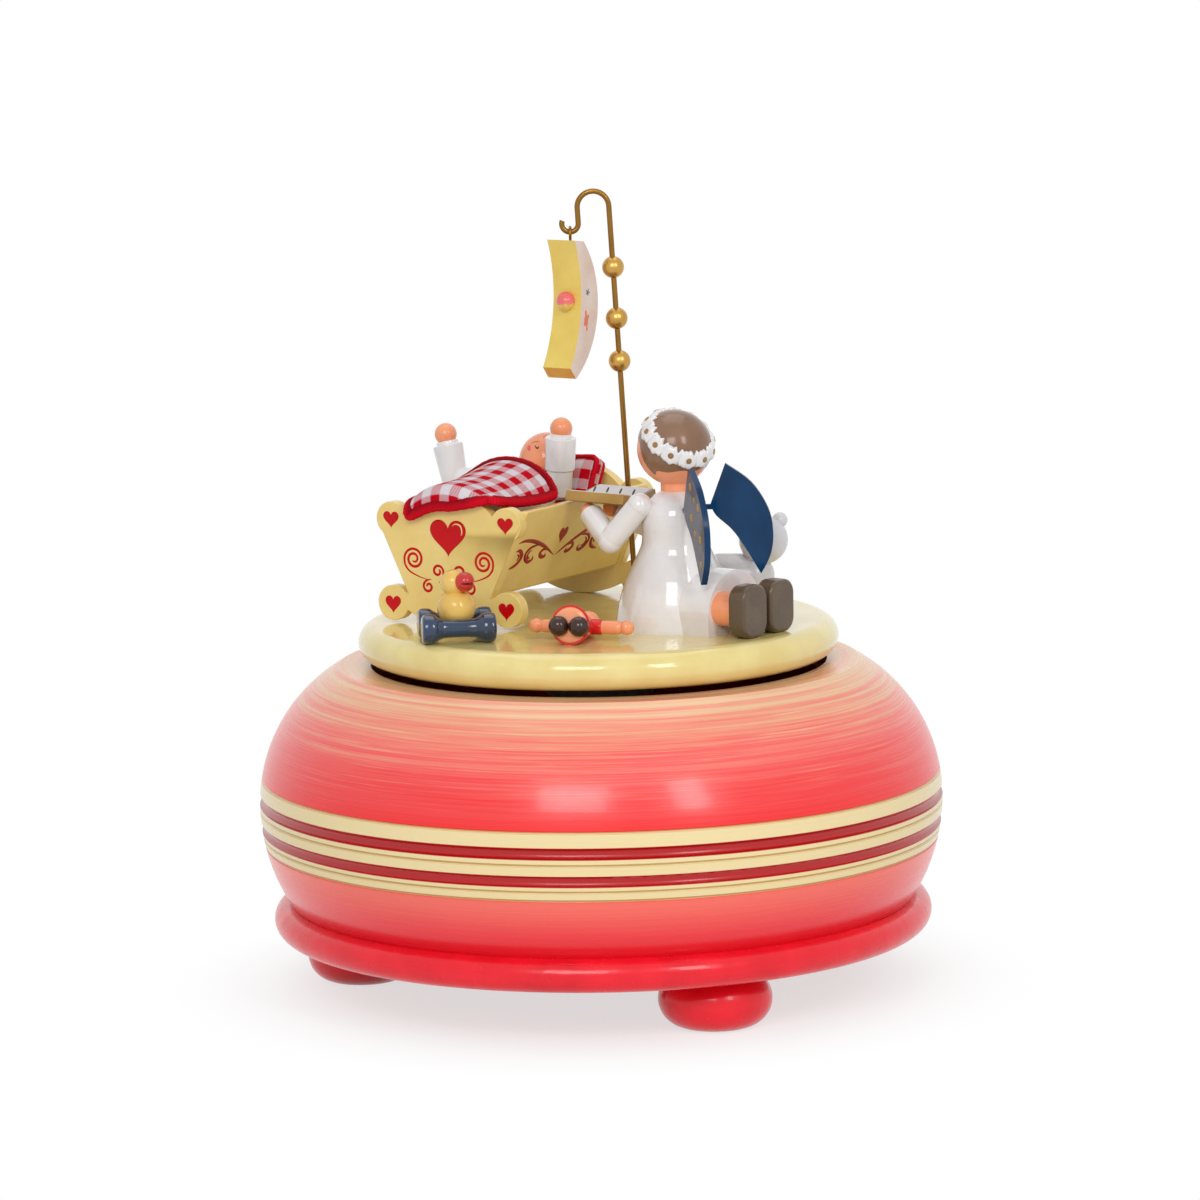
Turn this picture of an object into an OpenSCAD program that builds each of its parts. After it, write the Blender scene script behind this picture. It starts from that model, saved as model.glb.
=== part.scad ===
// Turned wooden music box: a banded bowl on bun feet holds a wind-up movement, and a round
// platform on its spindle carries a cradle scene under a hanging crescent moon.
// Millimetres, +Z up. The origin is on the floor under the middle of the bowl.
// The viewer is at -Y. Every figure stands on the platform, so each is placed from its top.

/* [Box] */
// Widest diameter of the bowl
bowl_d = 150; // [140:1:160]
// Height of the bowl from the base plate to the rim
bowl_h = 52; // [50:0.5:54]
// Thickness of the bowl's wall
wall = 7; // [6:0.5:8]
// Diameter of the opening under the platform
rim_d = 100; // [96:1:102]
// How far the base plate's edge lies inside the bowl's widest line
base_inset = 2.6; // [1:0.1:4]
// Thickness of the base plate
base_t = 7.3; // [7:0.1:8]
// Diameter of a bun foot
foot_d = 24.4; // [22:0.2:26]
// Height of a bun foot
foot_h = 12; // [12:0.1:14]
// Distance of a foot from the middle
foot_circle = 53.5; // [52:0.5:55]
// Direction of the front foot, in degrees
foot_turn = -64; // [-70:1:-58]

/* [Turntable] */
// Diameter of the platform
plat_d = 105.2; // [105:0.1:107]
// Thickness of the platform
plat_t = 8; // [8:0.1:9]
// Gap between the rim and the platform
plat_gap = 1.2; // [1:0.1:2]
// Diameter of the spindle that carries the platform
spindle_d = 5; // [4.6:0.1:5.4]

/* [Movement] */
// Diameter of the winding arbor
arbor_d = 4; // [3.6:0.1:4.2]
// Radial clearance of every turning shaft
run_gap = 0.05; // [0.03:0.01:0.08]
// Module of the crown wheel and the cylinder pinion
crown_m = 0.8333; // [0.8333:0.0001:0.8333]
// Teeth of the crown wheel on the barrel
crown_n = 30; // [30:1:30]
// Teeth of the cylinder pinion
pinion_n = 12; // [12:1:12]
// Radius of the pinned cylinder
drum_r = 6.3; // [6:0.1:6.4]
// Notes, each with a comb tooth and a track on the cylinder
notes = 18; // [12:1:18]
// Distance between neighbouring notes
note_pitch = 1.05; // [1:0.01:1.06]

/* [Cradle] */
// Length from the foot board's outer face to the head board's inner face
cradle_l = 55.3; // [53:0.1:57]
// Thickness of the end boards
board_t = 2.8; // [2.4:0.1:3]
// Thickness of the side boards
side_t = 2.2; // [1.8:0.1:2.4]
// Height of the upper round lobes' centres
lobe_h = 22.9; // [22:0.1:24]
// Half the distance between the upper lobes
lobe_x = 14.6; // [14:0.1:15]
// Direction of the cradle across the platform, in degrees
cradle_turn = -30.6; // [-33:0.2:-28]

/* [Figures] */
// Radius of the kneeling angel's head
angel_head_r = 8; // [7.6:0.1:8.4]
// Radius of the hem of the angel's dress
hem_r = 13.2; // [12.8:0.1:13.4]
// Radius of the baby's head
baby_head_r = 6.3; // [6:0.1:6.5]
// Thickness of the angel's wings
wing_t = 1.4; // [1.2:0.1:1.8]
// Diameter of the cart's wheels
wheel_d = 6.4; // [6:0.1:6.8]

/* [Moon] */
// Height of the post's straight length
post_h = 90; // [86:0.5:94]
// Diameter of the brass wire
wire_d = 1.2; // [1:0.1:1.4]
// Thickness of the crescent
moon_t = 7.4; // [7:0.1:8.4]
// Depth of the crescent at its middle
moon_depth = 6.4; // [6.2:0.1:7]

/* [Hidden] */
$fn = 64;

// A cut runs past the faces that it opens by this much
cut = 1;

// Levels of the stack, from the floor up
base_z = foot_h;
bowl_z = base_z + base_t;
rim_z = bowl_z + bowl_h;
plat_z = rim_z + plat_gap;
top_z = plat_z + plat_t;

// Bowl: two arcs that meet at the belly, and its turned rings
bowl_r = bowl_d / 2;
base_d = bowl_d - 2 * base_inset;
belly_up = 21.7;
belly_z = bowl_z + belly_up;
shoulder_r = 34.5;
belly_r = 40;
groove_r = 1.25;
groove_out = 0.2;
groove_ups = [1.5, -4.4];
groove_zs = [for (up = groove_ups) belly_z + up];
line_r = 0.35;
line_ups = [5.9, -1.0, -6.7, -8.6];
line_zs = [for (up = line_ups) belly_z + up];

// Fasteners of the base
foot_tenon_r = 4;
foot_tenon_h = 5;
base_screw_n = 3;
base_screw_in = 11;
base_screw_circle = bowl_r - base_screw_in;
base_screw_head_r = 3;
base_screw_head_h = 2;
base_screw_r = 1.5;
base_screw_l = 14;
key_hole_r = 5;

// Movement: bed plate on posts, barrel in the middle, cylinder out along +X
bed_z = bowl_z + 4;
bed_t = 2.6;
bed_top = bed_z + bed_t;
bed_x0 = -20;
bed_x1 = 50;
bed_y0 = -29;
bed_y1 = 27;
post_spots = [[-15, -24], [-15, 22], [45, -24]];
post_r = 3.6;
mount_screw_r = 1.5;
mount_screw_head_r = 3;
mount_screw_head_h = 2.4;
screw_r = 1.2;
screw_l = 5;
screw_head_r = 2.2;
screw_head_h = 1.5;

// Barrel and its crown wheel
flange_gap = 0.5;
flange_t = 1.6;
flange_z = bed_top + flange_gap;
flange_top = flange_z + flange_t;
crown_r = crown_m * crown_n / 2;
crown_face = 1.6;
crown_root = 0.4;
crown_out = crown_r + crown_face / 2;
flange_r = crown_out + 0.35;
crown_pitch_z = flange_top + 1.25 * crown_m;
barrel_r = 11;
barrel_wall = 1.2;
barrel_h = 15;
barrel_top = flange_top + barrel_h;
cap_t = 1.5;
spring_gap = 0.6;
spring_out_gap = 0.1;
spring_t = 0.45;
spring_turns = 8;
spring_end_gap = 0.5;
arbor_r = arbor_d / 2;
arbor_head_gap = 2;
collar_r = arbor_r + 1;
collar_t = 1;
collar_z = bowl_z - 0.7;
clutch_wire_r = 0.4;
clutch_turns = 4;
clutch_gap = 0.15;
clutch_tail = 6;

// Pinned cylinder, its gears and the comb
pinion_r = crown_m * pinion_n / 2;
cyl_z = crown_pitch_z + pinion_r;
cyl_arbor_r = 1.5;
arbor_end = 0.5;
pinion_x = crown_r - crown_face / 2;
upright_t = 2;
upright_half = 4;
upright_over = 4;
trans_half = 3.5;
upright_1x = crown_out + 1.1;
drum_x = upright_1x + upright_t + 1;
drum_l = notes * note_pitch;
gear_m = 0.5;
tooth_share = 0.42;
worm_tooth_share = 0.36;
gear_n = 36;
gear_t = 1.4;
gear_x = drum_x + drum_l + 0.6;
gear_gap = 0.5;
gear_slot = sqrt(pow(gear_m * (gear_n / 2 + 0.9) + gear_gap, 2) - pow(cyl_z - bed_top, 2));
upright_2x = gear_x + gear_t + 1.2;
pin_r = 0.22;
pin_h = 0.45;
pin_root = 0.3;
pins_per_note = 3;
pin_turn = 137.5;
comb_gap = 0.2;
comb_tip_y = -(drum_r + pin_h + comb_gap);
comb_tooth_l = 12.5;
comb_root_y = comb_tip_y - comb_tooth_l;
comb_seat = 7.4;
comb_end_y = comb_root_y - comb_seat - 0.6;
comb_t = 1.2;
comb_z = cyl_z - comb_t / 2;
comb_slot = 0.3;
comb_slant = 4;
comb_screw_y = comb_root_y - 4;
comb_screw_xs = [drum_x + 4, drum_x + drum_l - 4];

// Transfer wheel and governor
trans_n = 9;
trans_y = gear_m * (gear_n + trans_n) / 2;
trans_arbor_r = 0.9;
trans_pinion_t = 1.8;
trans_pinion_x = gear_x - (trans_pinion_t - gear_t) / 2;
worm_m = 0.4;
worm_n = 24;
worm_pitch_r = 1.6;
worm_core_r = worm_pitch_r - 0.15;
worm_wheel_t = 1.0;
worm_wheel_x = upright_2x + upright_t + 1.5;
worm_x = worm_wheel_x + worm_wheel_t / 2;
worm_y = trans_y + worm_m * worm_n / 2 + worm_pitch_r;
worm_lead = PI * worm_m;
worm_turns = 4;
worm_l = worm_lead * worm_turns;
worm_shaft_r = 0.9;
upright_3x = worm_wheel_x + worm_wheel_t + 1.8;
fly_up = 6.5;
fly_z = cyl_z + fly_up;
fly_h = 7;
fly_r = 4.8;
fly_t = 0.6;
gov_top = fly_z + fly_h + 1.2;
gov_arm_t = 1.8;
gov_post_y = worm_y + fly_r + 1.2;
gov_post_t = 2.4;
gov_post_w = 7;
gov_foot_l = 7;
gov_screw_y = gov_post_y - screw_head_r - 0.2;
pivot_deep = 1.4;

// Bridge over the barrel
bridge_w = 8;
bridge_t = 1.6;
bridge_gap = 1;
bridge_z = barrel_top + cap_t + bridge_gap;
bridge_y = crown_out + 2.5;
bridge_foot = 6;
bridge_screw_y = bridge_y + bridge_t + bridge_foot / 2;

// Turntable
hub_r = 12;
hub_h = 8;
spindle_deep = 5.5;

// Key under the base
key_z = 1.6;
key_h = 9;
key_hub_r = 3.4;
key_wing_r = 4.4;
key_wing_x = 8;
key_wing_t = 1.6;
key_web = 6.4;
key_eye_r = 2;

// Cradle, in its own frame: X across, Y towards the head, Z from the platform
cradle_spot = [-18.2, 15.6];
lobe_r = 3.8;
foot_lobe = [14.5, 4.4];
foot_lobe_r = 3.9;
waist_x = 10.7;
waist_h = 6.8;
rocker_r = 21.4;
arch_r = 15.2;
arch_h = 29.7;
side_out = lobe_x + lobe_r - 0.1;
side_in = 0.9;
side_top = 22;
near_side_top = 25.8;
floor_t = 2.2;
cradle_y0 = -cradle_l / 2;
cradle_y1 = cradle_l / 2;
inner_y0 = cradle_y0 + board_t;
soft_gap = 0.3;

// Bedding and baby
mattress_foot_h = 13;
mattress_head_h = 19.4;
pillow_size = [21, 14, 6.4];
pillow_in = 4.55;
pillow_h = 25.7;
pillow_spot = [0, cradle_y1 - pillow_in, pillow_h];
pillow_tilt = 63;
pillow_bend = 1.5;
pillow_draw = 0.06;
blanket_draw = 0.03;
blanket_size = [25, 32.6, 2.2];
blanket_in = 9.45;
blanket_y = cradle_y0 + blanket_in;
blanket_arch = arch_r + blanket_size[2] / 2 + soft_gap;
blanket_roll = 5;
blanket_shear = 0.08;
blanket_rise = 2.9;
blanket_rise_l = 18;
blanket_round = 1.9;
blanket_side = [0.9, 1.8];
blanket_rear = 0.6;
blanket_rear_l = 7.4;
blanket_slack = [0.36, 1];
blanket_fold_r = 2;
blanket_fold_in = 0.35;
blanket_fold_y = cradle_y0 + blanket_fold_in;
foot_end = [cradle_y0, 0];
head_end = [cradle_y1, 0];
baby_feet = foot_end + [7.65, 21.8];
baby_neck = head_end + [-18.65, 25.6];
baby_feet_r = 7.6;
baby_neck_r = 5.6;
baby_face = head_end + [-13.05, 31.6];
baby_neck_pin_r = 2.6;
baby_sleeve_r = 3.3;
baby_hand_r = 2.5;
baby_cuff = [0, 0, 2.2];
baby_taper = 0.3;
baby_neck_in = 2;
at_head = [0, cradle_y1, 0];
baby_right_shoulder = at_head + [5.6, -17.45, 25.5];
baby_right_hand = at_head + [6.8, -18.05, 39.6];
baby_left_shoulder = at_head + [-5, -18.65, 27];
baby_left_elbow = at_head + [-21.4, -18.05, 27];
baby_left_hand = at_head + [-23.6, -17.85, 37];

// Angel, in her own frame: X towards her back, Z from the platform
angel_spot = [17, -13];
angel_turn = -38;
angel_head_z = 38.8;
neck_r = 3;
neck_z = 29.6;
dress_ins = [
    [0, 0], [0.1, 1.5], [0.7, 5], [2, 9.5], [4, 14], [5.7, 17.6], [6, 20], [5.9, 22.8],
    [6.6, 26], [8.6, 28.6],
];
dress_line = concat([for (d = dress_ins) [hem_r - d[0], d[1]]], [[neck_r, neck_z]]);
skirt_l = 15.8;
skirt_r = 9.7;
skirt_rise = 3.8;
leg_r = 3.7;
leg_l = 4.8;
leg_y = 4.9;
leg_z = 5.7;
shoe_size = [8.6, 11.4, 4.4];
shoe_round = 3.2;
wing_angle = 34;
wing_root = 7.7;
wing_z = 26.6;
wing_peg_r = 0.6;
wing_peg_l = 3;
wing_peg_in = 1.5;
arm_r = 2.65;
joint_r = arm_r + 0.08;
hand_r = 1.95;
cuff_share = 0.12;
wing_outer = [[3.3, 8.9], [8.9, 4.8], [12.5, -0.9], [13.5, -6.2], [12.9, -11], [10.8, -15.2]];
wing_inner = [[10.8, -15.2], [7.5, -9.6], [4.6, -5.5], [1.2, -2.4], [0, 0]];
shoulder = [-4.2, 7.1, 26.8];
elbow = [-10.9, 9, 18.9];
hand = [-20.4, 4, 24];
book_l = 15.8;
book_w = 6.3;
book_t = 2.2;
book_x = -25.4;
book_tilt = 12;
book_z = hand[2] + hand_r - tan(book_tilt) * hand[1] + 0.15;

// Post, hook and moon
post_spot = [8.6, 6];
post_lean = 3;
post_deep = 5;
hook_r = 3.45;
hook_drop = 3.3;
curl_r = 1.8;
curl_turn = 205;
bead_r = 2.4;
bead_zs = [56, 65.4, 76.6];
curl_x = -2 * hook_r - curl_r;
curl_z = post_h - hook_drop;
// Lowest point of the curl after the post leans
hang_x = post_spot[0] + curl_x * cos(post_lean) - curl_z * sin(post_lean);
hang_z = top_z + curl_x * sin(post_lean) + curl_z * cos(post_lean) - curl_r;
eye_r = 1.3;
eye_wire_r = 0.32;
eye_gap = 0.12;
eye_drop = eye_r - eye_wire_r - wire_d / 2 - eye_gap;
eye_shank = 3.4;
moon_drop = eye_drop + eye_r + eye_wire_r + 0.1;
moon_turn = 55;
moon_roll = 7;
moon_aside = [0.3, 0.3];
moon_half = 14.9;
moon_out_r = 19.9;
moon_in_r = 32;
moon_hang = 0.4;
moon_tip = 1;
moon_slant = 7.5;
nose_r = 2.1;
nose_x = -0.6;
nose_z = 1.7;

// Duck on two turned axles
cart_spot = [-30.3, -27.3];
cart_turn = 7;
axle_gap = 9.2;
axle_l = 16;
wheel_t = 3.2;
bar_r = 1.9;
duck_r = 4.15;
duck_z = wheel_d / 2 + 3.7;
duck_head_r = 2.85;
duck_head_spot = [-0.5, 0, 5.5];
bill_r = 2.15;
bill_reach = 3.1;
bill_turn = -45;
bill_lift = 0.4;
bill_root = 0.6;
bill_slit = 0.5;

// Doll on its back, feet to the viewer
doll_spot = [-6.2, -37.6];
doll_turn = -17;
doll_hem_r = 4.3;
doll_top_r = 2.2;
doll_l = 11;
doll_head_r = 2.7;
doll_head_in = 0.3;
doll_arm_r = 1.4;
doll_arm_s = 8.3;
doll_arm_l = 9.4;
doll_hand_r = 1.6;
doll_hand_out = 0.7;
doll_shoe_r = 2.2;
doll_shoe_gap = 0.05;
doll_shoe_drop = 0.3;
doll_shoe_out = 1;
doll_tilt = atan((doll_hem_r - doll_top_r) / doll_l);

// Toy bear on four legs, behind the angel
bear_spot = [34, 3];
bear_turn = -8;
bear_r = 4.9;
bear_l = 7;
bear_z = 8.4;
bear_leg_r = 1.9;
bear_leg_y = 2.4;
bear_leg_in = 0.4;
bear_head_r = 5.4;
bear_head_at = [2.6, -0.6, 16.5];
bear_head_turn = 75;
bear_ear_r = 1.7;
bear_ear_at = [1.8, 3.2, 4.2];
bear_snout_r = 2.2;
bear_snout_at = [bear_head_r - 1.2, 0, -1.2];

cream = [0.89, 0.81, 0.60];
red = [0.86, 0.08, 0.13];
peach = [0.93, 0.66, 0.50];
white = [0.93, 0.92, 0.91];
navy = [0.07, 0.22, 0.41];
brown = [0.36, 0.31, 0.27];
steel = [0.72, 0.72, 0.74];
brass = [0.72, 0.54, 0.25];

// One point on a Catmull-Rom curve between p[i] and p[i + 1]
function knot(p, i) = p[max(0, min(len(p) - 1, i))];
function bend(p, i, t) =
    let (a = knot(p, i - 1), b = knot(p, i), c = knot(p, i + 1), d = knot(p, i + 2))
    0.5 * (2 * b + (c - a) * t + (2 * a - 5 * b + 4 * c - d) * t * t
        + (3 * b - a - 3 * c + d) * t * t * t);
// A smooth line through the points, with n steps between each two
function smooth(p, n) = concat(
    [for (i = [0:len(p) - 2], k = [0:n - 1]) bend(p, i, k / n)], [p[len(p) - 1]]);

// Disc with a fully rounded edge
module round_disc(r, t) {
    rotate_extrude() {
        square([r - t / 2, t]);
        translate([r - t / 2, t / 2])
            intersection() {
                circle(t / 2);
                translate([0, -t / 2]) square([t, t]);
            }
    }
}

// Rod between two points
module rod(a, b, r) {
    v = b - a;
    translate(a)
        rotate([0, acos(v[2] / norm(v)), atan2(v[1], v[0])])
            cylinder(r = r, h = norm(v));
}

// Rectangle with four round corners
module rounded_rect(w, h, r) {
    translate([-w / 2 + r, -h / 2]) square([w - 2 * r, h]);
    translate([-w / 2, -h / 2 + r]) square([w, h - 2 * r]);
    for (x = [-1, 1], y = [-1, 1])
        translate([x * (w / 2 - r), y * (h / 2 - r)]) circle(r);
}

// Spur gear outline with straight-sided teeth; thick is the tooth's share of the pitch
module gear_2d(n, m, thick) {
    r = n * m / 2;
    a = 360 / n;
    circle(r - 1.2 * m);
    for (i = [0:n - 1])
        rotate(i * a)
            polygon([
                for (s = [-1, 1], k = [0, 1])
                    let (up = s < 0 ? k : 1 - k,
                         rr = up == 1 ? r + 0.9 * m : r - 1.35 * m,
                         half = (thick + (up == 1 ? -0.22 : 0.16)) * a / 2 * r / rr)
                    rr * [cos(s * half), sin(s * half)]
            ]);
}

// Closed cushion: crowned on both faces and drawn in along its sides; warp then places each point
function cushion_edge(a, w, l, draw) =
    let (p = 0.42, c = cos(a), s = sin(a), pull = 1 - draw * (1 - pow(abs(sin(2 * a)), 0.8)))
    pull * [w / 2 * sign(c) * pow(abs(c), p), l / 2 * sign(s) * pow(abs(s), p)];
module cushion(w, l, t, draw, warp) {
    sides = 40;
    rows = 7;
    ring = function(k, side)
        let (q = sin(90 * k / rows), h = side * t / 2 * pow(1 - pow(q, 2.6), 0.62))
        [for (i = [0:sides - 1])
            let (e = q * cushion_edge(360 * i / sides + 4.5, w, l, draw))
            warp([e[0], e[1], h])];
    pts = concat(
        [warp([0, 0, t / 2])],
        [for (k = [1:rows]) each ring(k, 1)],
        [for (k = [rows - 1:-1:1]) each ring(k, -1)],
        [warp([0, 0, -t / 2])]);
    rings = 2 * rows - 1;
    last = rings * sides + 1;
    at = function(k, i) 1 + k * sides + i % sides;
    polyhedron(pts, concat(
        [for (i = [0:sides - 1]) [0, at(0, i + 1), at(0, i)]],
        [for (k = [0:rings - 2], i = [0:sides - 1])
            each [[at(k, i), at(k, i + 1), at(k + 1, i)],
                  [at(k, i + 1), at(k + 1, i + 1), at(k + 1, i)]]],
        [for (i = [0:sides - 1]) [last, at(rings - 1, i), at(rings - 1, i + 1)]]));
}

// Frames of the groups
module at_feet() {
    for (i = [0:2])
        rotate(foot_turn + 120 * i) translate([foot_circle, 0]) children();
}
module on_platform() { translate([0, 0, top_z]) children(); }
module in_cradle() {
    on_platform() translate(cradle_spot) rotate(cradle_turn) children();
}
module at_angel() { on_platform() translate(angel_spot) rotate(angel_turn) children(); }
module at_post() {
    on_platform() translate(post_spot) rotate([0, -post_lean, 0]) children();
}
module at_cart() { on_platform() translate(cart_spot) rotate(cart_turn) children(); }
module at_doll() { on_platform() translate(doll_spot) rotate(doll_turn) children(); }
module at_bear() { on_platform() translate(bear_spot) rotate(bear_turn) children(); }
module both_sides() {
    for (s = [-1, 1]) scale([1, s, 1]) children();
}

// Box
module feet() {
    color(red)
        at_feet() {
            round_disc(foot_d / 2, foot_h);
            cylinder(r = foot_tenon_r, h = foot_h + foot_tenon_h);
        }
}
module at_base_screws() {
    for (i = [0:base_screw_n - 1])
        rotate(foot_turn + 60 + 120 * i) translate([base_screw_circle, 0]) children();
}
module base_plate() {
    color(red)
        difference() {
            translate([0, 0, base_z]) round_disc(base_d / 2, base_t);
            at_feet() cylinder(r = foot_tenon_r, h = base_z + foot_tenon_h);
            at_base_screws() {
                cylinder(r = base_screw_head_r, h = base_z + base_screw_head_h);
                cylinder(r = base_screw_r, h = bowl_z + cut);
            }
            for (p = post_spots)
                translate(p) {
                    cylinder(r = mount_screw_head_r, h = base_z + mount_screw_head_h);
                    cylinder(r = mount_screw_r, h = bowl_z + cut);
                }
            cylinder(r = key_hole_r, h = bowl_z + cut);
        }
}
module base_screws() {
    color(steel)
        at_base_screws()
            translate([0, 0, base_z]) {
                cylinder(r = base_screw_head_r, h = base_screw_head_h);
                cylinder(r = base_screw_r, h = base_screw_l);
            }
}
// Half section of a bowl-shaped body, a wall's thickness inside the outer face
module bowl_section(inset) {
    intersection() {
        translate([0, belly_z]) square([bowl_r, rim_z - belly_z]);
        union() {
            translate([bowl_r - shoulder_r, belly_z]) circle(shoulder_r - inset, $fn = 128);
            translate([0, belly_z]) square([bowl_r - shoulder_r, shoulder_r - inset]);
        }
    }
    intersection() {
        translate([0, bowl_z]) square([bowl_r, belly_z - bowl_z]);
        union() {
            translate([bowl_r - belly_r, belly_z]) circle(belly_r - inset, $fn = 128);
            translate([0, bowl_z]) square([bowl_r - belly_r, belly_z - bowl_z]);
        }
    }
}
module bowl() {
    color([0.93, 0.40, 0.36])
        difference() {
            rotate_extrude($fn = 128)
                difference() {
                    bowl_section(0);
                    bowl_section(wall);
                    translate([0, belly_z]) square([rim_d / 2, bowl_h]);
                    for (z = groove_zs)
                        translate([bowl_r + groove_out, z]) circle(groove_r, $fn = 32);
                    for (z = line_zs)
                        translate([bowl_surface(z), z]) circle(line_r, $fn = 24);
                }
            at_base_screws()
                translate([0, 0, base_z]) cylinder(r = base_screw_r, h = base_screw_l);
        }
}
// Radius of the bowl's outer face at a height
function bowl_surface(z) =
    let (r = z > belly_z ? shoulder_r : belly_r, d = z - belly_z)
    bowl_r - r + sqrt(r * r - d * d);

// Movement
module upright(x, y0, y1) {
    translate([x, y0, bed_z]) cube([upright_t, y1 - y0, cyl_z + upright_over - bed_z]);
}
module bedplate() {
    color([0.75, 0.74, 0.70])
        difference() {
            union() {
                translate([bed_x0, bed_y0, bed_z])
                    cube([bed_x1 - bed_x0, bed_y1 - bed_y0, bed_t]);
                for (p = post_spots)
                    translate([p[0], p[1], bowl_z]) cylinder(r = post_r, h = bed_top - bowl_z);
                upright(upright_1x, -upright_half, upright_half);
                upright(upright_2x, -upright_half, trans_y + trans_half);
                upright(upright_3x, trans_y - trans_half, trans_y + trans_half);
                translate([drum_x, comb_end_y, bed_z])
                    cube([drum_l, comb_seat, comb_z - bed_z]);
            }
            for (p = post_spots)
                translate([p[0], p[1], bowl_z - cut]) cylinder(r = mount_screw_r, h = bed_top);
            translate([0, 0, bed_z - cut]) cylinder(r = arbor_r + run_gap, h = bed_t + 2 * cut);
            translate([upright_1x - cut, 0, cyl_z])
                rotate([0, 90, 0]) cylinder(r = cyl_arbor_r + run_gap, h = upright_2x);
            translate([upright_2x - cut, trans_y, cyl_z])
                rotate([0, 90, 0]) cylinder(r = trans_arbor_r + run_gap, h = upright_3x);
            translate([gear_x - gear_gap, -gear_slot, bed_z - cut])
                cube([gear_t + 2 * gear_gap, 2 * gear_slot, bed_t + 2 * cut]);
            translate([worm_x, worm_y, bed_top - pivot_deep])
                cylinder(r = worm_shaft_r + run_gap, h = bed_t);
            at_machine_screws() translate([0, 0, -screw_l]) cylinder(r = screw_r, h = screw_l + cut);
        }
}
module mount_screws() {
    color(steel)
        for (p = post_spots)
            translate([p[0], p[1], base_z]) {
                cylinder(r = mount_screw_head_r, h = mount_screw_head_h);
                cylinder(r = mount_screw_r, h = bed_top - base_z);
            }
}
// Each screw's place is the top of the piece that it holds
module at_machine_screws() {
    for (x = comb_screw_xs) translate([x, comb_screw_y, comb_z + comb_t]) children();
    for (s = [-1, 1]) translate([0, s * bridge_screw_y, bed_top + bridge_t]) children();
    translate([worm_x, gov_screw_y, bed_top + gov_arm_t]) children();
}
module machine_screws() {
    color(steel)
        at_machine_screws() {
            cylinder(r = screw_head_r, h = screw_head_h);
            translate([0, 0, -screw_l]) cylinder(r = screw_r, h = screw_l);
        }
}
module barrel_bridge() {
    color(steel)
        difference() {
            union() {
                for (s = [-1, 1])
                    scale([1, s, 1]) {
                        translate([-bridge_w / 2, bridge_y, bed_top])
                            cube([bridge_w, bridge_t, bridge_z + bridge_t - bed_top]);
                        translate([-bridge_w / 2, bridge_y, bed_top])
                            cube([bridge_w, bridge_t + bridge_foot, bridge_t]);
                    }
                translate([-bridge_w / 2, -bridge_y, bridge_z])
                    cube([bridge_w, 2 * bridge_y, bridge_t]);
            }
            translate([0, 0, bridge_z - cut])
                cylinder(r = spindle_d / 2 + run_gap, h = bridge_t + 2 * cut);
            at_machine_screws() translate([0, 0, -screw_l]) cylinder(r = screw_r, h = screw_l + cut);
        }
}
// Close-wound one-way spring on the arbor, with a tail to the bed plate
module clutch_spring() {
    wire = clutch_wire_r;
    ring_r = arbor_r + wire + clutch_gap;
    color(steel) {
        for (i = [0:clutch_turns - 1])
            translate([0, 0, bed_z - wire - 1.9 * wire * i])
                rotate_extrude() translate([ring_r, 0]) circle(wire, $fn = 24);
        translate([ring_r, 0, bed_z - wire])
            rotate([-90, 0, 0]) cylinder(r = wire, h = clutch_tail, $fn = 24);
    }
}
module comb() {
    color(steel)
        difference() {
            translate([drum_x, comb_end_y, comb_z])
                cube([drum_l, comb_tip_y - comb_end_y, comb_t]);
            for (i = [1:notes - 1])
                translate([drum_x + i * note_pitch - comb_slot / 2,
                           comb_root_y + comb_slant * i / notes, comb_z - cut])
                    cube([comb_slot, comb_tip_y - comb_root_y + cut, comb_t + 2 * cut]);
            at_machine_screws() translate([0, 0, -screw_l]) cylinder(r = screw_r, h = screw_l + cut);
        }
}
module governor_bracket() {
    color(brass)
        difference() {
            translate([worm_x - gov_post_w / 2, 0, 0]) {
                translate([0, gov_post_y, bed_top])
                    cube([gov_post_w, gov_post_t, gov_top + gov_arm_t - bed_top]);
                translate([0, gov_post_y - gov_foot_l, bed_top])
                    cube([gov_post_w, gov_foot_l, gov_arm_t]);
                translate([0, worm_y - 2.5, gov_top])
                    cube([gov_post_w, gov_post_y - worm_y + 2.5, gov_arm_t]);
            }
            translate([worm_x, worm_y, bed_z])
                cylinder(r = worm_shaft_r + run_gap, h = gov_top + gov_arm_t - bed_z + cut);
            at_machine_screws() translate([0, 0, -screw_l]) cylinder(r = screw_r, h = screw_l + cut);
        }
}
module winding_arbor() {
    color(steel) {
        translate([0, 0, key_z]) cylinder(r = arbor_r, h = barrel_top - arbor_head_gap - key_z);
        translate([0, 0, collar_z]) cylinder(r = collar_r, h = collar_t);
    }
}
module winding_key() {
    color(brass)
        difference() {
            union() {
                translate([0, 0, key_z]) cylinder(r = key_hub_r, h = key_h);
                rotate([90, 0, 0])
                    translate([0, 0, -key_wing_t / 2])
                        linear_extrude(key_wing_t) {
                            for (s = [-1, 1])
                                translate([s * key_wing_x, key_z + key_wing_r]) circle(key_wing_r);
                            translate([-key_wing_x, key_z + key_wing_r - key_web / 2])
                                square([2 * key_wing_x, key_web]);
                        }
            }
            translate([0, 0, key_z]) cylinder(r = arbor_r, h = key_h + cut);
            for (s = [-1, 1])
                translate([s * key_wing_x, key_wing_t, key_z + key_wing_r])
                    rotate([90, 0, 0]) cylinder(r = key_eye_r, h = 2 * key_wing_t);
        }
}
module along_cylinder(x) { translate([x, 0, cyl_z]) rotate([0, 90, 0]) children(); }
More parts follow.
